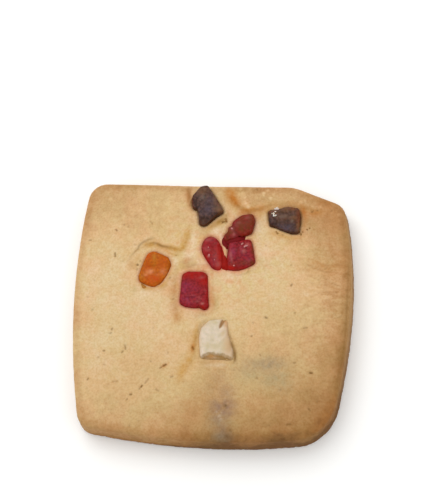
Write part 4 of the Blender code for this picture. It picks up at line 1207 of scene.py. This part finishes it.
def plainSugar(name, look):
    material, tree = newMaterial(name)
    place = addNode(tree, "TexCoord").outputs["Object"]
    cloud = addNode(tree, "TexNoise", {"Scale": 1 / (cloudySugar["cloudSize"] * mm), "Detail": 2.0},
                    {"Vector": place}).outputs["Fac"]
    tone = hexLinear(look["tone"])
    deeper = (*(cloudySugar["deeper"] * channel for channel in tone[:3]), 1.0)
    colour = addNode(tree, "Mix", {"data_type": "RGBA", 6: deeper, 7: tone}, {0: cloud}).outputs[2]
    shader = addNode(tree, "BsdfPrincipled", {
        "IOR": look["ior"], "Roughness": look["roughness"], "Specular IOR Level": look["specular"],
        "Subsurface Weight": cloudySugar["through"], "Subsurface Radius": cloudySugar["reach"],
        "Subsurface Scale": cloudySugar["depth"] * mm,
    }, {"Base Color": colour})
    addNode(tree, "OutputMaterial", None, {"Surface": shader.outputs[0]})
    return material


surfaces = [surfaceTree(piece.data) for piece in (biscuit, *fruit.values())]
scatter("sugar_grains", sugar, plainSugar("sugarCrystal", sugarLook), "cashew", surfaces, 3)
scatter("damp_sugar_and_glints", dampSugarAndGlints, plainSugar("dampSugarAndGlints", dampSugarAndGlintLook), "cashew", surfaces, 6)
scatter("toasted_crumbs", crumbs, plainSugar("toastedSugar", crumbLook), "dark_fruit", surfaces, 4)
for name, materialName, look, slot in (
        ("red_syrup", "redSyrup", redSyrupLook, "red_fruit"),
        ("dark_syrup", "darkSyrup", darkSyrupLook, "red_fruit"),
        ("orange_syrup", "orangeSyrup", orangeSyrupLook, "orange_fruit")):
    syrupBeads(name, syrups[name], plainSugar(materialName, look), slot)
print("sugar, crumbs and syrup laid on")


# the light, the table and the camera

studio = {  # places and sizes in mm, powers in watts
    "paper": "#fcfcfa", "roughness": 0.8, "size": 1200,
    "sky": "#ffffff", "skyStrength": 0.87,
    "keyPlace": (-120, 190, 330), "keySize": 340, "keyPower": 0.60,
    "fillPlace": (200, -160, 300), "fillSize": 300, "fillPower": 0.10,
}
cameraSetting = {
    "aim": (1.95, 12.1, 7.0),        # mm, what the middle of the picture looks at
    "towards": (0.10, -0.33, 0.94),  # from there to the lens
    "distance": 215, "sensor": 36, "lens": 69.3,
}


def addFloor():
    mesh = bmesh.new()
    bmesh.ops.create_grid(mesh, x_segments=8, y_segments=8, size=studio["size"] / 2 * mm)
    data = finishedMesh(mesh, "studio_floor")
    material, tree = newMaterial("studioPaper")
    shader = addNode(tree, "BsdfPrincipled", {"Base Color": hexLinear(studio["paper"]),
                                              "Roughness": studio["roughness"]})
    addNode(tree, "OutputMaterial", None, {"Surface": shader.outputs[0]})
    data.materials.append(material)
    floor = bpy.data.objects.new("studio_floor", data)
    bpy.context.scene.collection.objects.link(floor)


def addLight(name, place, size, power):
    lamp = bpy.data.lights.new(name, "AREA")
    lamp.size = size * mm
    lamp.energy = power
    made = bpy.data.objects.new(name, lamp)
    bpy.context.scene.collection.objects.link(made)
    made.location = Vector(place) * mm
    made.rotation_euler = Vector(place).to_track_quat("Z", "Y").to_euler()


def addSky():
    world = bpy.data.worlds.new("studio_sky")
    world.use_nodes = True
    background = world.node_tree.nodes["Background"]
    background.inputs["Color"].default_value = hexLinear(studio["sky"])
    background.inputs["Strength"].default_value = studio["skyStrength"]
    bpy.context.scene.world = world
    bpy.context.scene.view_settings.view_transform = "Standard"


def addCamera():
    view = bpy.data.cameras.new("photo_view")
    view.sensor_width = cameraSetting["sensor"]
    view.lens = cameraSetting["lens"]
    view.clip_start = 1 * mm
    made = bpy.data.objects.new("photo_view", view)
    bpy.context.scene.collection.objects.link(made)
    back = Vector(cameraSetting["towards"]).normalized()
    right = Vector((0.0, 1.0, 0.0)).cross(back).normalized()
    up = back.cross(right)
    turn = Matrix((right, up, back)).transposed().to_4x4()
    turn.translation = (Vector(cameraSetting["aim"]) + back * cameraSetting["distance"]) * mm
    made.matrix_world = turn
    bpy.context.scene.camera = made


addFloor()
addSky()
addLight("window_light", studio["keyPlace"], studio["keySize"], studio["keyPower"])
addLight("fill_light", studio["fillPlace"], studio["fillSize"], studio["fillPower"])
addCamera()
print("table, light and camera set")
